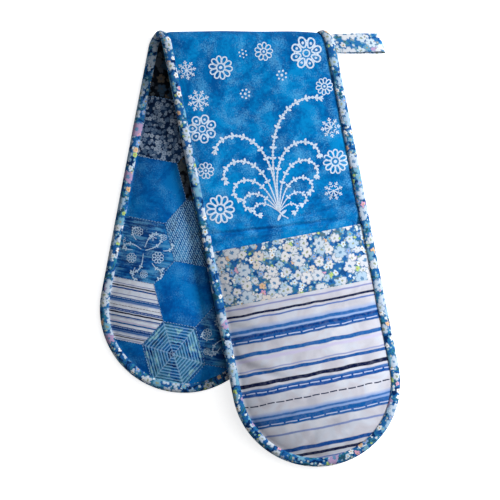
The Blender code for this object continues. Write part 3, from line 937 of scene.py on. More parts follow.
PATCH_CLOTHS = {
    "batik": cotton("batik_patch_cotton", batik, ("#004f9c", "#0063b4", "#0878c6"), "#4a9edb"),
    "striped": cotton(
        "small_stripe_cotton", stripes, ("#cbd1e2", "#d8deeb", "#dae3f3", "#e2e8f4"), scale=0.34, bold=1.3
    ),
    "ditsy": cotton(
        "ditsy_flower_lawn", tiny_flowers, ("#0a1f40", "#1b3c64"), DITSY, 6.0, "#3f5a80", relief=0.25
    ),
    # A dark leaf print whose near-black ground and dim flowers also carry painted shade, for where it
    # lies under the front half
    "leaf": cotton(
        "dark_leaf_lawn_and_painted_shade", tiny_flowers, ("#05080e", "#0f1722"), LEAF, 12.0, "#1a222c", relief=0.25
    ),
    "ringed": cotton("streaked_batik_cotton", streaks),
    "hatched": cotton("denim_printed_cotton", hatching),
    "hexagons": cotton("hexagon_printed_cotton", ringed_hexagon),
}


# The strip and the pockets


def strip_layers():
    """(part, lower level, upper level, material, slot, step, part under it) of the strip, from face
    B to face A."""
    heat_floor = offset(strip_floor, FABRIC + LAYER_GAP)
    wadding_floor = offset(heat_floor, HEAT_LAYER + LAYER_GAP)
    wadding_top = offset(strip_top, -FABRIC - LAYER_GAP)
    return (
        ("reverse_fabric", strip_floor, offset(strip_floor, FABRIC), SEAM_CLOTH, "patchwork_cotton",
         REVERSE_STEP, None),
        ("heat_layer", heat_floor, offset(heat_floor, HEAT_LAYER), HEAT_CLOTH, "heat_reflecting_cloth",
         HIDDEN_STEP, "reverse_fabric"),
        ("wadding", wadding_floor, wadding_top, WADDING_FELT, "cotton_wadding",
         SHOWN_STEP, None),
        ("outer_fabric", offset(strip_top, -FABRIC), strip_top, BATIK, "blue_print_cotton",
         SHOWN_STEP, "wadding"),
    )


def sew_strip():
    """The four layers of the strip, each as a back, a fold and a front piece."""
    for part, low, high, material, slot, step, under in strip_layers():
        columns = cross_columns(step)
        pieces = {}
        for half in (BACK, FRONT):
            name = f"{half.name}_{part}"
            stations = between(half, whole_rows(half, step), low, high)
            made = lay(f"{name}_cloth", stations, columns, material)
            belongs(made[0], half, slot, name)
            pieces[half.name] = made
        fold = [(half, (row, low), (row, high)) for half, row in fold_rows()]
        # The fold's inner face gets the dark leaf cloth: its print, and painted shade for the shade
        # inside the fold under the front half
        fold_cloth = PATCH_CLOTHS["leaf"] if part == "reverse_fabric" else material
        pieces["fold"] = lay(f"fold_{part}_cloth", fold, columns, fold_cloth)
        belongs(pieces["fold"][0], None, slot)


def sew_pocket(half):
    """The hand pocket: lining, wadding, striped panel, and the band that wraps its mouth."""
    panel_floor = offset(pocket_top, -FABRIC)
    lining_top = offset(pocket_inside, FABRIC)

    def layer(name, node, start, step, low, high, material, slot, print_start=None):
        rows = straight_rows(start, half.end_centre, step) + end_rows(half, step)
        stations = between(half, rows, low, high)
        made = lay(f"{half.name}_{name}", stations, cross_columns(step), material, print_start)
        belongs(made[0], half, slot, f"{half.name}_pocket_{node}")
        return made

    lining = layer(
        "pocket_lining_cloth", "lining", half.mouth + MOUTH_FACING + LAYER_GAP, HIDDEN_STEP,
        pocket_inside, lining_top, LINING, "lining_cotton",
    )
    wadding = layer(
        "pocket_wadding_felt", "wadding", half.mouth + FABRIC + LAYER_GAP, SHOWN_STEP,
        offset(pocket_inside, FABRIC + LAYER_GAP), offset(panel_floor, -LAYER_GAP),
        WADDING_FELT, "cotton_wadding",
    )
    panel = layer(
        "striped_panel", "striped_panel", half.seam + LAYER_GAP, SHOWN_STEP,
        panel_floor, pocket_top, STRIPED, "striped_cotton", half.seam,
    )

    mouth, inner = (half.mouth, 0.0, 0.0), (half.mouth + FABRIC, 0.0, 0.0)
    outside = straight_rows(half.seam, half.mouth, SHOWN_STEP)[:-1]
    inside = straight_rows(half.mouth, half.mouth + MOUTH_FACING, SHOWN_STEP)[1:]
    stations = between(half, outside, panel_floor, pocket_top)
    stations.append((half, (inner, panel_floor), (mouth, pocket_top)))
    stations.append((half, (inner, lining_top), (mouth, pocket_inside)))
    stations += [(half, (row, lining_top), (row, pocket_inside)) for row in inside]
    columns = cross_columns(SHOWN_STEP)
    band, size, _ = lay(f"{half.name}_mouth_band", stations, columns, BAND_FLORAL, wrapped=True)
    belongs(band, half, "floral_cotton", f"{half.name}_pocket_mouth_band")


# The binding

# Distances in from the edge at which the tape's outside has a line of points, in mm
TAPE_POINTS = (10.0, 9.8, 9.0, 7.6, 6.0, 4.4, 3.0, 1.9, 1.0, 0.4, 0.1)
TAPE_PLUMP = 0.0010
TAPE_LIP = 0.0003
LIP_TUCK = 0.0007
LIP_START = 0.0086
LIP_RUN = 0.0014
NOSE_REACH = 0.0046
SHORT_WAVE = 0.0085
LONG_WAVE = 0.030


def tape_ring(half, row, side):
    """The section of the binding at one end of a row, as points: a soft channel, plump on both
    sides, with its raw edges turned under."""
    u_row, _, turn = row
    pocketed = 1.0 if turn else smooth((u_row - half.mouth + BINDING_STEP) / BINDING_STEP)
    top = STRIP_HALF_PINCHED + (LAYER_GAP + POCKET_STACK_PINCHED) * pocketed + LAYER_GAP
    floor = -STRIP_HALF_PINCHED - LAYER_GAP
    roof, base = top + BINDING_WALL, floor - BINDING_WALL
    middle, reach = (roof + base) / 2, (roof - base) / 2
    edge = place(half, *across(half, row, side * HALF_WIDTH), 0.0)
    wave = noise.noise(edge / SHORT_WAVE)
    slow = noise.noise(edge / LONG_WAVE)
    plump = TAPE_PLUMP * (1 + 0.45 * wave + 0.4 * slow)
    shift = 0.00022 * wave + 0.0006 * slow
    outer = []
    for inward in TAPE_POINTS:
        inward *= MM
        rounding = math.sqrt(max(0.0, 1 - (1 - min(1.0, inward / NOSE_REACH)) ** 2))
        swell = plump * math.sin(math.pi * min(1.0, inward / BINDING_COVER)) ** 0.7
        lip = LIP_TUCK * smooth((inward - LIP_START) / LIP_RUN)
        outer.append((inward + shift * inward / BINDING_COVER, reach * rounding + swell - lip))
    points = [(inward, middle + up) for inward, up in outer] + [(0.0, middle)]
    points += [(inward, middle - up) for inward, up in reversed(outer)]
    points += [
        (BINDING_COVER - TAPE_LIP, floor),
        (BINDING_ROUND, floor),
        (BINDING_WALL, floor + (middle - floor) * FLAT_SHARE),
        (BINDING_WALL, top - (top - middle) * FLAT_SHARE),
        (BINDING_ROUND, top),
        (BINDING_COVER - TAPE_LIP, top),
    ]
    flat = [(across(half, row, side * (HALF_WIDTH - inward)), level) for inward, level in points]
    return [place(half, *spot, level) for spot, level in flat]


def sew_tape(name, stations, print_start, print_way):
    """A binding tape, grown station by station from its first section. A station is (half, row,
    side). Its print starts at a place in metres and runs one way (1) or the other (-1) from
    there. Returns the piece and the tape's length."""
    bm = bmesh.new()
    printed = bm.verts.layers.float_vector.new("cloth")
    around = [0.0]
    along = 0.0
    ring = tape_ring(*stations[0])
    for before, after in zip(ring, ring[1:]):
        around.append(around[-1] + (after - before).length / MM)
    face = bm.faces.new([bm.verts.new(point) for point in ring])
    for vert, turned in zip(face.verts, around):
        vert[printed] = (print_start / MM, turned, 0.0)
    inner_faces = []
    last_nose = ring[len(TAPE_POINTS)]
    for half, row, side in stations[1:]:
        inner_faces.append(face)
        grown = bmesh.ops.extrude_face_region(bm, geom=[face])["geom"]
        face = next(item for item in grown if isinstance(item, bmesh.types.BMFace))
        nose = place(half, *across(half, row, side * HALF_WIDTH), 0.0)
        along += (nose - last_nose).length
        last_nose = nose
        for vert, point, turned in zip(face.verts, tape_ring(half, row, side), around):
            vert.co = point
            vert[printed] = ((print_start + print_way * along) / MM, turned, 0.0)
    bmesh.ops.delete(bm, geom=inner_faces[1:], context="FACES_ONLY")
    return close_up(bm, name, TAPE_FLORAL, sharp=70), along


def bind(name, half, stations, print_start, print_way):
    """One piece of the binding, over a half or, where half is None, over the fold. Returns its
    length."""
    tape, length = sew_tape(name, stations, print_start, print_way)
    belongs(tape, half, "floral_cotton", *([f"{half.name}_edge_binding"] if half else []))
    return length


def round_half(half):
    """Stations from the fold's left end round a half's tip to the fold's right end."""
    rows = whole_rows(half, TAPE_STEP)
    return [(half, row, -1) for row in rows] + [(half, row, 1) for row in rows[-2::-1]]


def bind_edges():
    """The binding, one tape in four pieces. Its print runs on from piece to piece, and its two ends
    meet at the right end of the fold."""
    left, right = ([(half, row, side) for half, row in fold_rows()] for side in (-1, 1))
    back_length = bind("back_binding_tape", BACK, round_half(BACK), 0.0, 1)
    fold_length = bind("fold_binding_tape_left", None, left, 0.0, -1)
    bind("front_binding_tape", FRONT, round_half(FRONT), -fold_length, -1)
    bind("fold_binding_tape_right", None, right, back_length, 1)


# The hanging loop

LOOP_TUCK = 0.0014
LOOP_COLUMNS = 14
LOOP_UNEVEN = 0.006
LOOP_NARROWING = 0.05
LOOP_PRINT_START = 0.160


def loop_frame():
    """Where the loop is sewn, and the directions out, along the seat and up from the tape."""
    places = []
    for share, twist in ((0.0, LOOP_TWIST), (0.5, 0.0), (1.0, -LOOP_TWIST)):
        run = LOOP_START + LOOP_WIDTH * share
        u = (run + HALF_WIDTH * math.sin(SPLAY_ANGLE)) / math.cos(SPLAY_ANGLE)
        places.append(place(FRONT, u, HALF_WIDTH, twist))
    along = (places[2] - places[0]).normalized()
    out = Vector((1, 0, 0))
    return places[1], out, along, along.cross(out).normalized()


def loop_path():
    """The middle of the tape from its upper sewn end, round the eye, to its lower one."""
    seam = (LOOP_TAPE + LAYER_GAP) / 2
    bend = (LOOP_EYE + LOOP_TAPE) / 2
    bend_centre = LOOP_SEAT_GAP + LOOP_LENGTH - bend - LOOP_TAPE / 2
    start = LOOP_SEAT_GAP - LOOP_TUCK
    sewn = LOOP_SEAT_GAP + LOOP_TAPE
    upper = [(start, seam)]
    for share in evenly(0.0, 1.0, 0.05)[:-1]:
        lift = math.sin(share * math.pi / 2) ** 0.75
        upper.append((sewn + (bend_centre - sewn) * share, seam + (bend - seam) * lift))
    turn = evenly(math.pi / 2, -math.pi / 2, math.pi / 14)
    round_end = [(bend_centre + bend * math.cos(a), bend * math.sin(a)) for a in turn]
    return upper + round_end + [(x, -z) for x, z in reversed(upper)]


def sew_loop():
    """A tape folded back on itself, with its long edges turned in and plump."""
    seat, out, along, up = loop_frame()
    path = [Vector(point) for point in loop_path()]
    runs = [0.0]
    for before, after in zip(path, path[1:]):
        runs.append(runs[-1] + (after - before).length)
    bm = bmesh.new()
    bmesh.ops.create_grid(bm, x_segments=len(path) - 1, y_segments=LOOP_COLUMNS, size=1)
    step_of = bm.verts.layers.int.new("step")
    side_of = bm.verts.layers.float.new("side")
    printed = bm.verts.layers.float_vector.new("cloth")
    for vert in bm.verts:
        vert[step_of] = round((vert.co.x + 1) / 2 * (len(path) - 1))
        vert[side_of] = vert.co.y
    lifted = bmesh.ops.extrude_face_region(bm, geom=bm.faces[:])["geom"]
    outside = {item for item in lifted if isinstance(item, bmesh.types.BMVert)}
    for vert in bm.verts:
        step, side = vert[step_of], vert[side_of]
        before, after = path[max(0, step - 1)], path[min(len(path) - 1, step + 1)]
        run = (after - before).normalized()
        edge = math.sqrt(max(0.0, 1 - abs(side) ** 6))
        wave = noise.noise(Vector((runs[step] / LOOP_UNEVEN, side * 1.5, 4.0)))
        thick = LOOP_TAPE / 2 * (0.25 + 0.75 * edge) * (1 + 0.3 * wave)
        normal = Vector((-run.y, run.x)) * thick
        x, z = path[step] + (normal if vert in outside else -normal)
        narrowed = 1 - LOOP_NARROWING * smooth(x / LOOP_LENGTH)
        y = side * (LOOP_WIDTH / 2) * narrowed + 0.0004 * wave * side
        vert.co = seat + out * x + along * y + up * z
        vert[printed] = Vector((runs[step] + LOOP_PRINT_START, y, 0.0)) / MM
    loop = close_up(bm, "hanging_loop_tape", LOOP_FLORAL, sharp=60)
    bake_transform(loop)
    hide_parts("hanging_loop")


# The patchwork of face B

# Straight cuts that round a half's end, and how far a patch's underside clears the reverse cloth
END_CUTS = 24
PATCH_FOOT = 0.00003

# A stitch's pitch, half its length, width and thickness, how far it stands out and how it slants
STITCH_PITCH = 0.0031
STITCH_LONG = 0.00125
STITCH_WIDE = 0.00046
STITCH_THICK = 0.0003
STITCH_RISE = 0.0005
STITCH_SLANT = 0.35

# Which cloth each hexagon has, in rows from the back tip's full hexagon to the fold, or from the
# fold's middle on
# On the back half, the leaf patches at the fold end and the third one of column 1, beside the front
# half's left edge, stand partly for painted shade there
BACK_PATCHES = {
    0: ["batik", "hexagons", "batik", "hatched", "leaf", "ditsy", "leaf"],
    -1: ["batik", "striped", "ringed", "batik", "ditsy", "leaf", "ditsy"],
    1: ["batik", "ringed", "leaf", "batik", "striped", "ditsy", "leaf"],
}
FRONT_PATCHES = {
    0: ["batik", "ditsy", "striped", "batik", "ringed", "hatched", "batik", "hexagons", "leaf"],
    -1: ["leaf", "batik", "ringed", "hatched", "batik", "striped", "ditsy", "batik", "hatched"],
    1: ["hatched", "batik", "hexagons", "ditsy", "batik", "ringed", "ditsy", "batik", "striped"],
}


def patch_centres(half):
    """(cloth, column, middle) of the hexagons of one half. The middle's x is -u on the back half and u
    on the front, its y is t."""
    found = []
    for column in (-1, 0, 1):
        half_row = 0.5 * (column % 2)
        t = LATTICE_T + column * PATCH_COLUMN
        for row in range(-1, 16):
            s = -LATTICE_U + (row + half_row) * PATCH_ROW - column * PATCH_LEAN
            near, far = half.sign * s - PATCH_ROW / 2, half.sign * s + PATCH_ROW / 2
            if far < 0 or near > half.length:
                continue
            cloths = (BACK_PATCHES if half is BACK else FRONT_PATCHES)[column]
            own = min(len(cloths) - 1, row + 1) if half is BACK else row % len(cloths)
            found.append((cloths[own], column, Vector((s, t, 0))))
    return found


def clip(bm, point, away):
    """Cuts off what lies beyond a line of the flat cloth."""
    geom = bm.verts[:] + bm.edges[:] + bm.faces[:]
    bmesh.ops.bisect_plane(bm, geom=geom, dist=1e-7, plane_co=point, plane_no=away, clear_outer=True)


def past_fold(half, u, t, margin):
    """Whether a flat place lies within a margin of the fold piece, or on it."""
    return u < ARC_END + half.sign * t * APEX_SHEAR + margin


def cut_patch(half, column, centre):
    """One flat hexagon, cut to its sides, to the fold and to the strip's outline."""
    bm = bmesh.new()
    bm.verts.layers.float_vector.new("cloth")
    bmesh.ops.create_grid(bm, x_segments=PATCH_CUTS, y_segments=PATCH_CUTS, size=PATCH_COLUMN * 0.7)
    bmesh.ops.translate(bm, verts=bm.verts[:], vec=centre)
    for middle, away, _ in patch_sides(column):
        clip(bm, centre + middle - away * PATCH_SEAM, away)
    outline = PANEL_HALF - PATCH_MARGIN
    for side in (-1, 1):
        clip(bm, (0, side * outline, 0), (0, side, 0))
    fold_line = (half.sign * (ARC_END + PATCH_SEAM), 0, 0)
    clip(bm, fold_line, (-half.sign, half.sign * APEX_SHEAR, 0))
    for k in range(1, END_CUTS):
        angle = math.pi * k / END_CUTS
        away = Vector((half.sign * math.sin(angle), math.cos(angle), 0))
        clip(bm, Vector((half.sign * half.end_centre, 0, 0)) + away * outline, away)
    return bm


def patch_level(half, u, t, column, centre):
    """How far a patch stands out of the reverse cloth: down at its seams, plump between them."""
    offset_flat = Vector((half.sign * u, t, 0)) - centre
    to_side = min((middle - offset_flat).dot(away) for middle, away, _ in patch_sides(column))
    plump = 1 - math.exp(-max(0.0, to_side) / PATCH_EDGE)
    ruffle = 0.25 * noise.noise(Vector((u / RUFFLE_SIZE, t / RUFFLE_SIZE, 2.0))) * (1 - plump * 0.6)
    free = 1 - edge_share(half, u, t) ** 10
    return PATCH_LIFT + (PATCH_PILLOW * (plump + ruffle * 0.6)) * free


def print_place(cloth, turn_of):
    """Where a patch lies on its cloth's print, in mm: cut at random, but hexagons and stripes from
    the middle."""
    start = Vector((turn_of.uniform(100, 400), turn_of.uniform(-60, 60), 0))
    middle = {"hexagons": Vector(), "striped": Vector((PATCH_ROW / 2 / MM, 0, 0))}
    return middle.get(cloth, start)


def piece_patchwork(half):
    """The hexagon patches of one half, one piece for each cloth."""
    turn_of = random.Random(7 + half.sign)
    shapes, areas = {}, {}
    for cloth, column, centre in patch_centres(half):
        bm = cut_patch(half, column, centre)
        area = sum(face.calc_area() for face in bm.faces)
        if area < SMALLEST_PATCH:
            bm.free()
            continue
        areas[cloth] = areas.get(cloth, 0.0) + area
        lifted = bmesh.ops.extrude_face_region(bm, geom=bm.faces[:])["geom"]
        outer = {item for item in lifted if isinstance(item, bmesh.types.BMVert)}
        printed = bm.verts.layers.float_vector["cloth"]
        start = print_place(cloth, turn_of)
        way = -half.sign if cloth == "striped" else 1
        for vert in bm.verts:
            u, t = half.sign * vert.co.x, vert.co.y
            vert[printed] = (vert.co - centre) / MM * way + start
            rise = patch_level(half, u, t, column, centre) if vert in outer else PATCH_FOOT
            vert.co = place(half, u, t, strip_floor(half, u, t) - rise)
        mesh = bpy.data.meshes.new("patch")
        bmesh.ops.recalc_face_normals(bm, faces=bm.faces[:])
        bm.to_mesh(mesh)
        bm.free()
        if cloth not in shapes:
            shapes[cloth] = bmesh.new()
        shapes[cloth].from_mesh(mesh)
        bpy.data.meshes.remove(mesh)
    for cloth, shape in shapes.items():
        patch = close_up(shape, f"{half.name}_patches_{cloth}", PATCH_CLOTHS[cloth])
        belongs(patch, half, "patchwork_cotton")


def stitch_patchwork(half):
    """Small slanted hand stitches along the patches' seams."""
    seams = []
    for _, column, centre in patch_centres(half):
        for middle, away, length in patch_sides(column):
            if all((centre + middle - other[0]).length > PATCH_MARGIN for other in seams):
                seams.append((centre + middle, away, length))
    bm = bmesh.new()
    for middle, away, length in seams:
        run = Vector((-away.y, away.x, 0))
        last = round(length / 2 / STITCH_PITCH - 0.8)
        for k in range(-last, last + 1):
            spot = middle + run * k * STITCH_PITCH
            u, t = half.sign * spot.x, spot.y
            if edge_share(half, u, t) > 0.985 or past_fold(half, u, t, 0.003):
                continue
            made = bmesh.ops.create_icosphere(bm, subdivisions=1, radius=1.0)["verts"]
            slant = (run + away * STITCH_SLANT * (-1) ** k).normalized()
            side = Vector((-slant.y, slant.x, 0))
            for vert in made:
                at = spot + slant * vert.co.x * STITCH_LONG + side * vert.co.y * STITCH_WIDE
                u, t = half.sign * at.x, at.y
                level = strip_floor(half, u, t) - STITCH_RISE - vert.co.z * STITCH_THICK
                vert.co = place(half, u, t, level)
    stitches = close_up(bm, f"{half.name}_patchwork_stitches", PALE_THREAD, sharp=80)
    belongs(stitches, half, "patchwork_cotton")


# The pale print of the outer cloth: dabs, leaves, stars and one tall spray, drawn flat in mm


def dab(bm, u, t, radius):
    made = bmesh.ops.create_circle(bm, cap_ends=True, segments=8, radius=radius)["verts"]
    bmesh.ops.translate(bm, verts=made, vec=(u, t, 0))


def leaf(bm, u, t, heading, length, width):
    """A pointed leaf from (u, t). heading is in degrees: 0 points away from the fold, 90 to the
    right."""
    made = bmesh.ops.create_grid(bm, x_segments=6, y_segments=2, size=1)["verts"]
    along = Vector((math.cos(math.radians(heading)), math.sin(math.radians(heading)), 0))
    side = Vector((-along.y, along.x, 0))
    for vert in made:
        share = (vert.co.x + 1) / 2
        half_width = width / 2 * math.sin(math.pi * share**0.85) ** 0.8 if 0 < share < 1 else 0.0
        vert.co = Vector((u, t, 0)) + along * share * length + side * vert.co.y * half_width


def stroke(bm, points, width):
    """A drawn line of even width along points."""
    made = bmesh.ops.create_grid(bm, x_segments=len(points) - 1, y_segments=1, size=1)["verts"]
    for vert in made:
        k = round((vert.co.x + 1) / 2 * (len(points) - 1))
        here = Vector((*points[k], 0))
        before, after = points[max(0, k - 1)], points[min(len(points) - 1, k + 1)]
        run = (Vector((*after, 0)) - Vector((*before, 0))).normalized()
        vert.co = here + Vector((-run.y, run.x, 0)) * vert.co.y * width / 2


def spot_at(u, t, heading, far):
    """The place far mm from (u, t) in a direction given in degrees."""
    at = math.radians(heading)
    return u + far * math.cos(at), t + far * math.sin(at)


def petal(bm, u, t, heading, inner, outer, wide, line):
    """An open drawn petal between two distances from a flower's middle."""
    at = math.radians(heading)
    loop = []
    for step in range(15):
        around = 2 * math.pi * step / 14
        out = (inner + outer) / 2 - (outer - inner) / 2 * math.cos(around)
        side = wide / 2 * math.sin(around) * (1 - 0.28 * math.cos(around))
        loop.append(
            (u + out * math.cos(at) - side * math.sin(at), t + out * math.sin(at) + side * math.cos(at))
        )
    stroke(bm, loop, line)


def ring(bm, u, t, radius, line):
    stroke(bm, [spot_at(u, t, 30 * k, radius) for k in range(13)], line)


def daisy(bm, u, t, radius, petals, turn=0.0):
    """A daisy of open petals round a dot."""
    wide = radius * 3.7 / petals
    for k in range(petals):
        petal(bm, u, t, turn + 360 * k / petals, radius * 0.31, radius * 0.95, wide, radius * 0.11)
    dab(bm, u, t, radius * 0.14)


def wheel(bm, u, t, radius, petals, turn=0.0):
    """A flower of wide open petals, with a leaf between each two and a ring in its middle."""
    for k in range(petals):
        heading = turn + 360 * k / petals
        petal(bm, u, t, heading, radius * 0.36, radius * 0.96, radius * 3.3 / petals, radius * 0.10)
        dab(bm, *spot_at(u, t, heading, radius * 0.66), radius * 0.085)
        aside = heading + 180 / petals
        leaf(bm, *spot_at(u, t, aside, radius * 0.46), aside, radius * 0.34, radius * 0.13)
    ring(bm, u, t, radius * 0.21, radius * 0.09)


def star(bm, u, t, radius, rays, turn=0.0):
    """A star of rays, each with two barbs and a dab at its end."""
    for k in range(rays):
        heading = turn + 360 * k / rays
        stroke(bm, [(u, t), spot_at(u, t, heading, radius * 0.9)], radius * 0.10)
        for side in (-1, 1):
            for far, long in ((0.42, 0.24), (0.68, 0.26)):
                root = spot_at(u, t, heading, radius * far)
                stroke(bm, [root, spot_at(*root, heading + side * 48, radius * long)], radius * 0.085)
        dab(bm, *spot_at(u, t, heading, radius * 0.94), radius * 0.085)


def dab_ring(bm, u, t, radius, count):
    for k in range(count):
        dab(bm, *spot_at(u, t, 360 * k / count, radius), radius * 0.24)
    dab(bm, u, t, radius * 0.32)


def beaded_arc(bm, u, t, heading, curl, length, bead):
    """A twig strung with dabs that grow towards its end, which hangs over. curl is how far it
    turns, in degrees. Returns its end and the direction there."""
    points = [(u, t)]
    steps = max(6, round(length / (1.15 * bead)))
    turned = heading
    for k in range(1, steps + 1):
        share = k / steps
        turned = heading + curl * share**2.7
        points.append(spot_at(*points[-1], turned, length / steps))
        grown = bead * (0.5 + 0.5 * smooth(share * 1.6))
        dab(bm, *points[-1], grown / 2)
        if share > 0.3 and k % 3 == 0:
            for side in (-1, 1):
                leaf(bm, *points[-1], turned + side * 68, bead * 1.25, bead * 0.8)
    stroke(bm, points, bead * 0.4)
    return points[-1], turned


def spray(bm, base_u, base_t):
    """A fountain of beaded twigs that rise from one root and hang over to both sides."""
    arcs = (
        (-2, -108, 150, 3.3), (-3, 156, 130, 3.3), (-5, -172, 112, 3.2), (7, 184, 104, 3.2),
        (-14, -190, 92, 3.0), (18, 200, 80, 3.0), (-24, -205, 70, 2.8), (30, 210, 60, 2.8),
        (-38, -210, 50, 2.5), (44, 210, 42, 2.5), (-56, -190, 30, 2.2),
    )
    for opening, curl, length, bead in arcs:
        (u, t), turned = beaded_arc(bm, base_u, base_t, 180 + opening, curl, length, bead)
        for side in (-1, 0, 1):
            leaf(bm, u, t, turned + side * 42, 4.6, 2.2)
    stroke(bm, [(base_u, base_t), (base_u + 5, base_t + 3), (base_u + 9, base_t + 8)], 1.6)
    for side in (-1, 1):
        leaf(bm, base_u + 3, base_t + 1, 40 + side * 75, 8.0, 3.0)


def lay_print(half, bm, name, level, material, slot):
    """Lays drawn motifs on a cloth's level and makes them a piece that faces out of it. Drawn
    lengths are in mm."""
    bmesh.ops.remove_doubles(bm, verts=bm.verts[:], dist=0.01)
    printed = bm.verts.layers.float_vector.new("cloth")
    for vert in bm.verts:
        u, t = vert.co.x * MM, vert.co.y * MM
        vert[printed] = print_mm(half, u, t)
        vert.co = place(half, u, t, level(half, u, t))
    bm.normal_update()
    outwards = 1 if level(half, 0.1, 0.0) > 0 else -1
    turned = [face for face in bm.faces if face.normal.z * half.sign * outwards < 0]
    bmesh.ops.reverse_faces(bm, faces=turned)
    belongs(make_object(bm, name, material), half, slot)


PRINT_RISE = 0.0002
FINE_PRINT_RISE = 0.00015
SPRAY_ROOT = (199, -3)

# Motifs as (u, t, radius, petals or rays, turn), and dab rings as (u, t, radius, dabs)
FRONT_WHEELS = ((40, 58, 17.0, 8, 8), (98, -66, 15.5, 7, 0))
FRONT_DAISIES = (
    (158, 66, 13.5, 11, 5), (185, -64, 15.5, 11, 12), (38, -34, 13.0, 10, 0), (142, -71, 9.0, 9, 10),
    (78, 70, 9.5, 10, 20), (30, 14, 10.0, 9, 4),
)
FRONT_STARS = (
    (68, -64, 11.5, 8, 10), (122, 68, 10.5, 8, 0), (188, 58, 10.0, 8, 12), (34, -70, 10.0, 8, 0)
)
FRONT_RINGS = ((58, 28, 4.8, 7), (70, -14, 4.6, 7), (28, -8, 4.0, 6))
BACK_WHEELS = ((44, 44, 16.0, 8, 8), (98, -48, 16.0, 7, 0))
BACK_DAISIES = ((118, 48, 13.0, 10, 12), (50, -54, 11.0, 10, 0), (80, 8, 13.5, 11, 10))
BACK_STARS = ((86, 64, 10.0, 8, 10), (124, -8, 10.5, 8, 0), (38, -4, 9.0, 8, 22))
BACK_RINGS = ((62, 26, 4.6, 7), (108, 20, 4.2, 6), (76, -30, 4.0, 7))


def print_outer(half, wheels, daisies, stars, rings, with_spray):
    """The pale print of one half's outer cloth, just proud of it."""
    bm = bmesh.new()
    if with_spray:
        spray(bm, *SPRAY_ROOT)
    for motif, places in ((wheel, wheels), (daisy, daisies), (star, stars), (dab_ring, rings)):
        for sizes in places:
            motif(bm, *sizes)
    level = offset(strip_top, PRINT_RISE)
    lay_print(half, bm, f"{half.name}_outer_print", level, PRINT, "blue_print_cotton")


# A sprig about a patch's middle: daisies as (direction, distance, radius, petals) and beaded twigs as
# (direction, distance, curl, length), in degrees and mm
SPRIG_DAISIES = (
    (0, 17, 6.5, 8), (130, 21, 5.0, 7), (235, 15, 5.5, 8), (58, 26, 3.4, 6), (178, 26, 3.8, 7),
    (296, 25, 4.2, 8),
)
SPRIG_TWIGS = (
    (40, 2, 96, 26), (95, 4, -80, 22), (170, 3, 110, 24), (200, 12, -120, 20), (290, 3, -96, 27),
    (330, 16, 90, 16), (25, 21, 120, 15), (150, 14, -130, 18), (268, 20, 110, 16), (335, 25, -120, 14),
)


def print_patches(half):
    """Fine pale sprigs on the streaked patches of face B, drawn inside each hexagon."""
    bm = bmesh.new()
    turn_of = random.Random(40 + half.sign)
    for cloth, _, centre in patch_centres(half):
        u, t = half.sign * centre.x, centre.y
        if cloth != "ringed" or edge_share(half, u, t) > 0.9:
            continue
        turn = turn_of.uniform(0, 360)
        middle = (u / MM, t / MM)
        for opening, far, radius, petals in SPRIG_DAISIES:
            daisy(bm, *spot_at(*middle, turn + opening, far), radius, petals, turn)
        star(bm, *spot_at(*middle, turn + 82, 18.0), 4.5, 6, turn)
        for opening, far, curl, length in SPRIG_TWIGS:
            root = spot_at(*middle, turn + opening, far)
            beaded_arc(bm, *root, turn + opening, curl, length, 1.9)
    outside = []
    for vert in bm.verts:
        u, t = vert.co.x * MM, vert.co.y * MM
        if edge_share(half, u, t) > 0.97 or past_fold(half, u, t, PATCH_MARGIN):
            outside.append(vert)
    bmesh.ops.delete(bm, geom=outside, context="VERTS")
    level = offset(strip_floor, -PATCH_LIFT - PATCH_PILLOW - FINE_PRINT_RISE)
    lay_print(half, bm, f"{half.name}_patch_print", level, FINE_PRINT, "patchwork_cotton")


# Building

sew_strip()
for one_half in (BACK, FRONT):
    sew_pocket(one_half)
    piece_patchwork(one_half)
    stitch_patchwork(one_half)
bind_edges()
sew_loop()
print_outer(FRONT, FRONT_WHEELS, FRONT_DAISIES, FRONT_STARS, FRONT_RINGS, True)
print_outer(BACK, BACK_WHEELS, BACK_DAISIES, BACK_STARS, BACK_RINGS, False)
print_patches(FRONT)
print_patches(BACK)


# Floor, light and camera

WHITE = (1, 1, 1, 1)
FLOOR_REACH = 8.0
FLOOR_DROP = 0.0004
FLOOR_LIFT = 0.76
ROOM_LIGHT = 0.11
SENSOR_WIDTH = 36.0
CAMERA_HEIGHT = 2.515
SEEN_WIDTH = 0.5357


def soft_light(name, at, size, power):
    """A square soft box that points at the middle of the floor."""
    lamp = bpy.data.lights.new(name, "AREA")
    lamp.shape = "SQUARE"
    lamp.size = size
    lamp.energy = power
    holder = bpy.data.objects.new(name, lamp)
    holder.location = at
    holder.rotation_euler = (-Vector(at)).to_track_quat("-Z", "Y").to_euler()
    bpy.context.scene.collection.objects.link(holder)


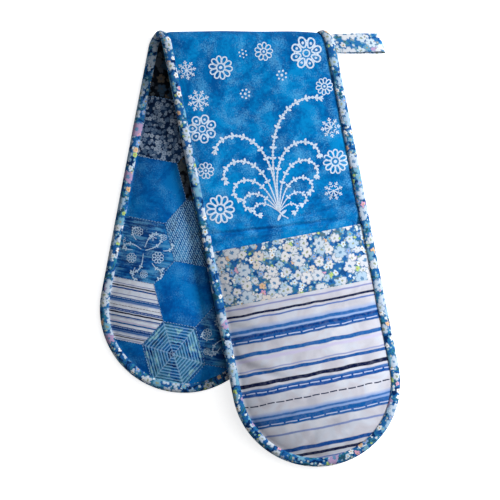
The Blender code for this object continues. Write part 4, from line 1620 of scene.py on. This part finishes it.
def seen_share(tree):
    """1 for what the eye sees straight, in a gloss or through a pane, and 0 for light that falls."""
    seen = add(tree, "LightPath").outputs
    straight = add(tree, "MAXIMUM", seen["Is Camera Ray"], seen["Is Glossy Ray"])
    return add(tree, "MAXIMUM", straight, seen["Is Transmission Ray"])


def lay_floor():
    """A floor of white paper that keeps the shadow and reads as white where none falls."""
    material = bpy.data.materials.new("white_paper_sweep")
    material.use_nodes = True
    tree = material.node_tree
    paper = tree.nodes["Principled BSDF"]
    feed(paper, Base_Color=linear("#f4f4f5"), Roughness=0.9, Specular_IOR_Level=0.1)
    lift = add(tree, "MULTIPLY", seen_share(tree), FLOOR_LIFT)
    glow = add(tree, "Emission", WHITE, lift)
    feed(tree.nodes["Material Output"], Surface=add(tree, "AddShader", paper, glow))
    bm = bmesh.new()
    bmesh.ops.create_grid(bm, x_segments=1, y_segments=1, size=FLOOR_REACH)
    bmesh.ops.translate(bm, verts=bm.verts[:], vec=(0, 0, -FLOOR_DROP))
    make_object(bm, "floor", material)


def light_room():
    """A plain white world, brighter to the eye than to the cloth, and a studio's soft boxes."""
    world = bpy.data.worlds.new("studio")
    bpy.context.scene.world = world
    world.use_nodes = True
    tree = world.node_tree
    level = add(tree, "MapRange", seen_share(tree), To_Min=ROOM_LIGHT, To_Max=1.0)
    feed(tree.nodes["Background"], Color=WHITE, Strength=level)
    soft_light("key_soft_box", (1.38, 0.46, 0.98), 0.45, 37.0)
    soft_light("top_soft_box", (0.6, 0.25, 1.75), 1.0, 8.0)


def set_camera():
    """A camera straight above the middle, with a long lens."""
    camera = bpy.data.cameras.new("camera")
    camera.sensor_width = SENSOR_WIDTH
    camera.lens = SENSOR_WIDTH * CAMERA_HEIGHT / SEEN_WIDTH
    camera.clip_end = 50.0
    holder = bpy.data.objects.new("camera", camera)
    holder.location = (-0.0013, -0.001, CAMERA_HEIGHT)
    bpy.context.scene.collection.objects.link(holder)
    bpy.context.scene.camera = holder
    bpy.context.scene.view_settings.view_transform = "Standard"


lay_floor()
light_room()
set_camera()
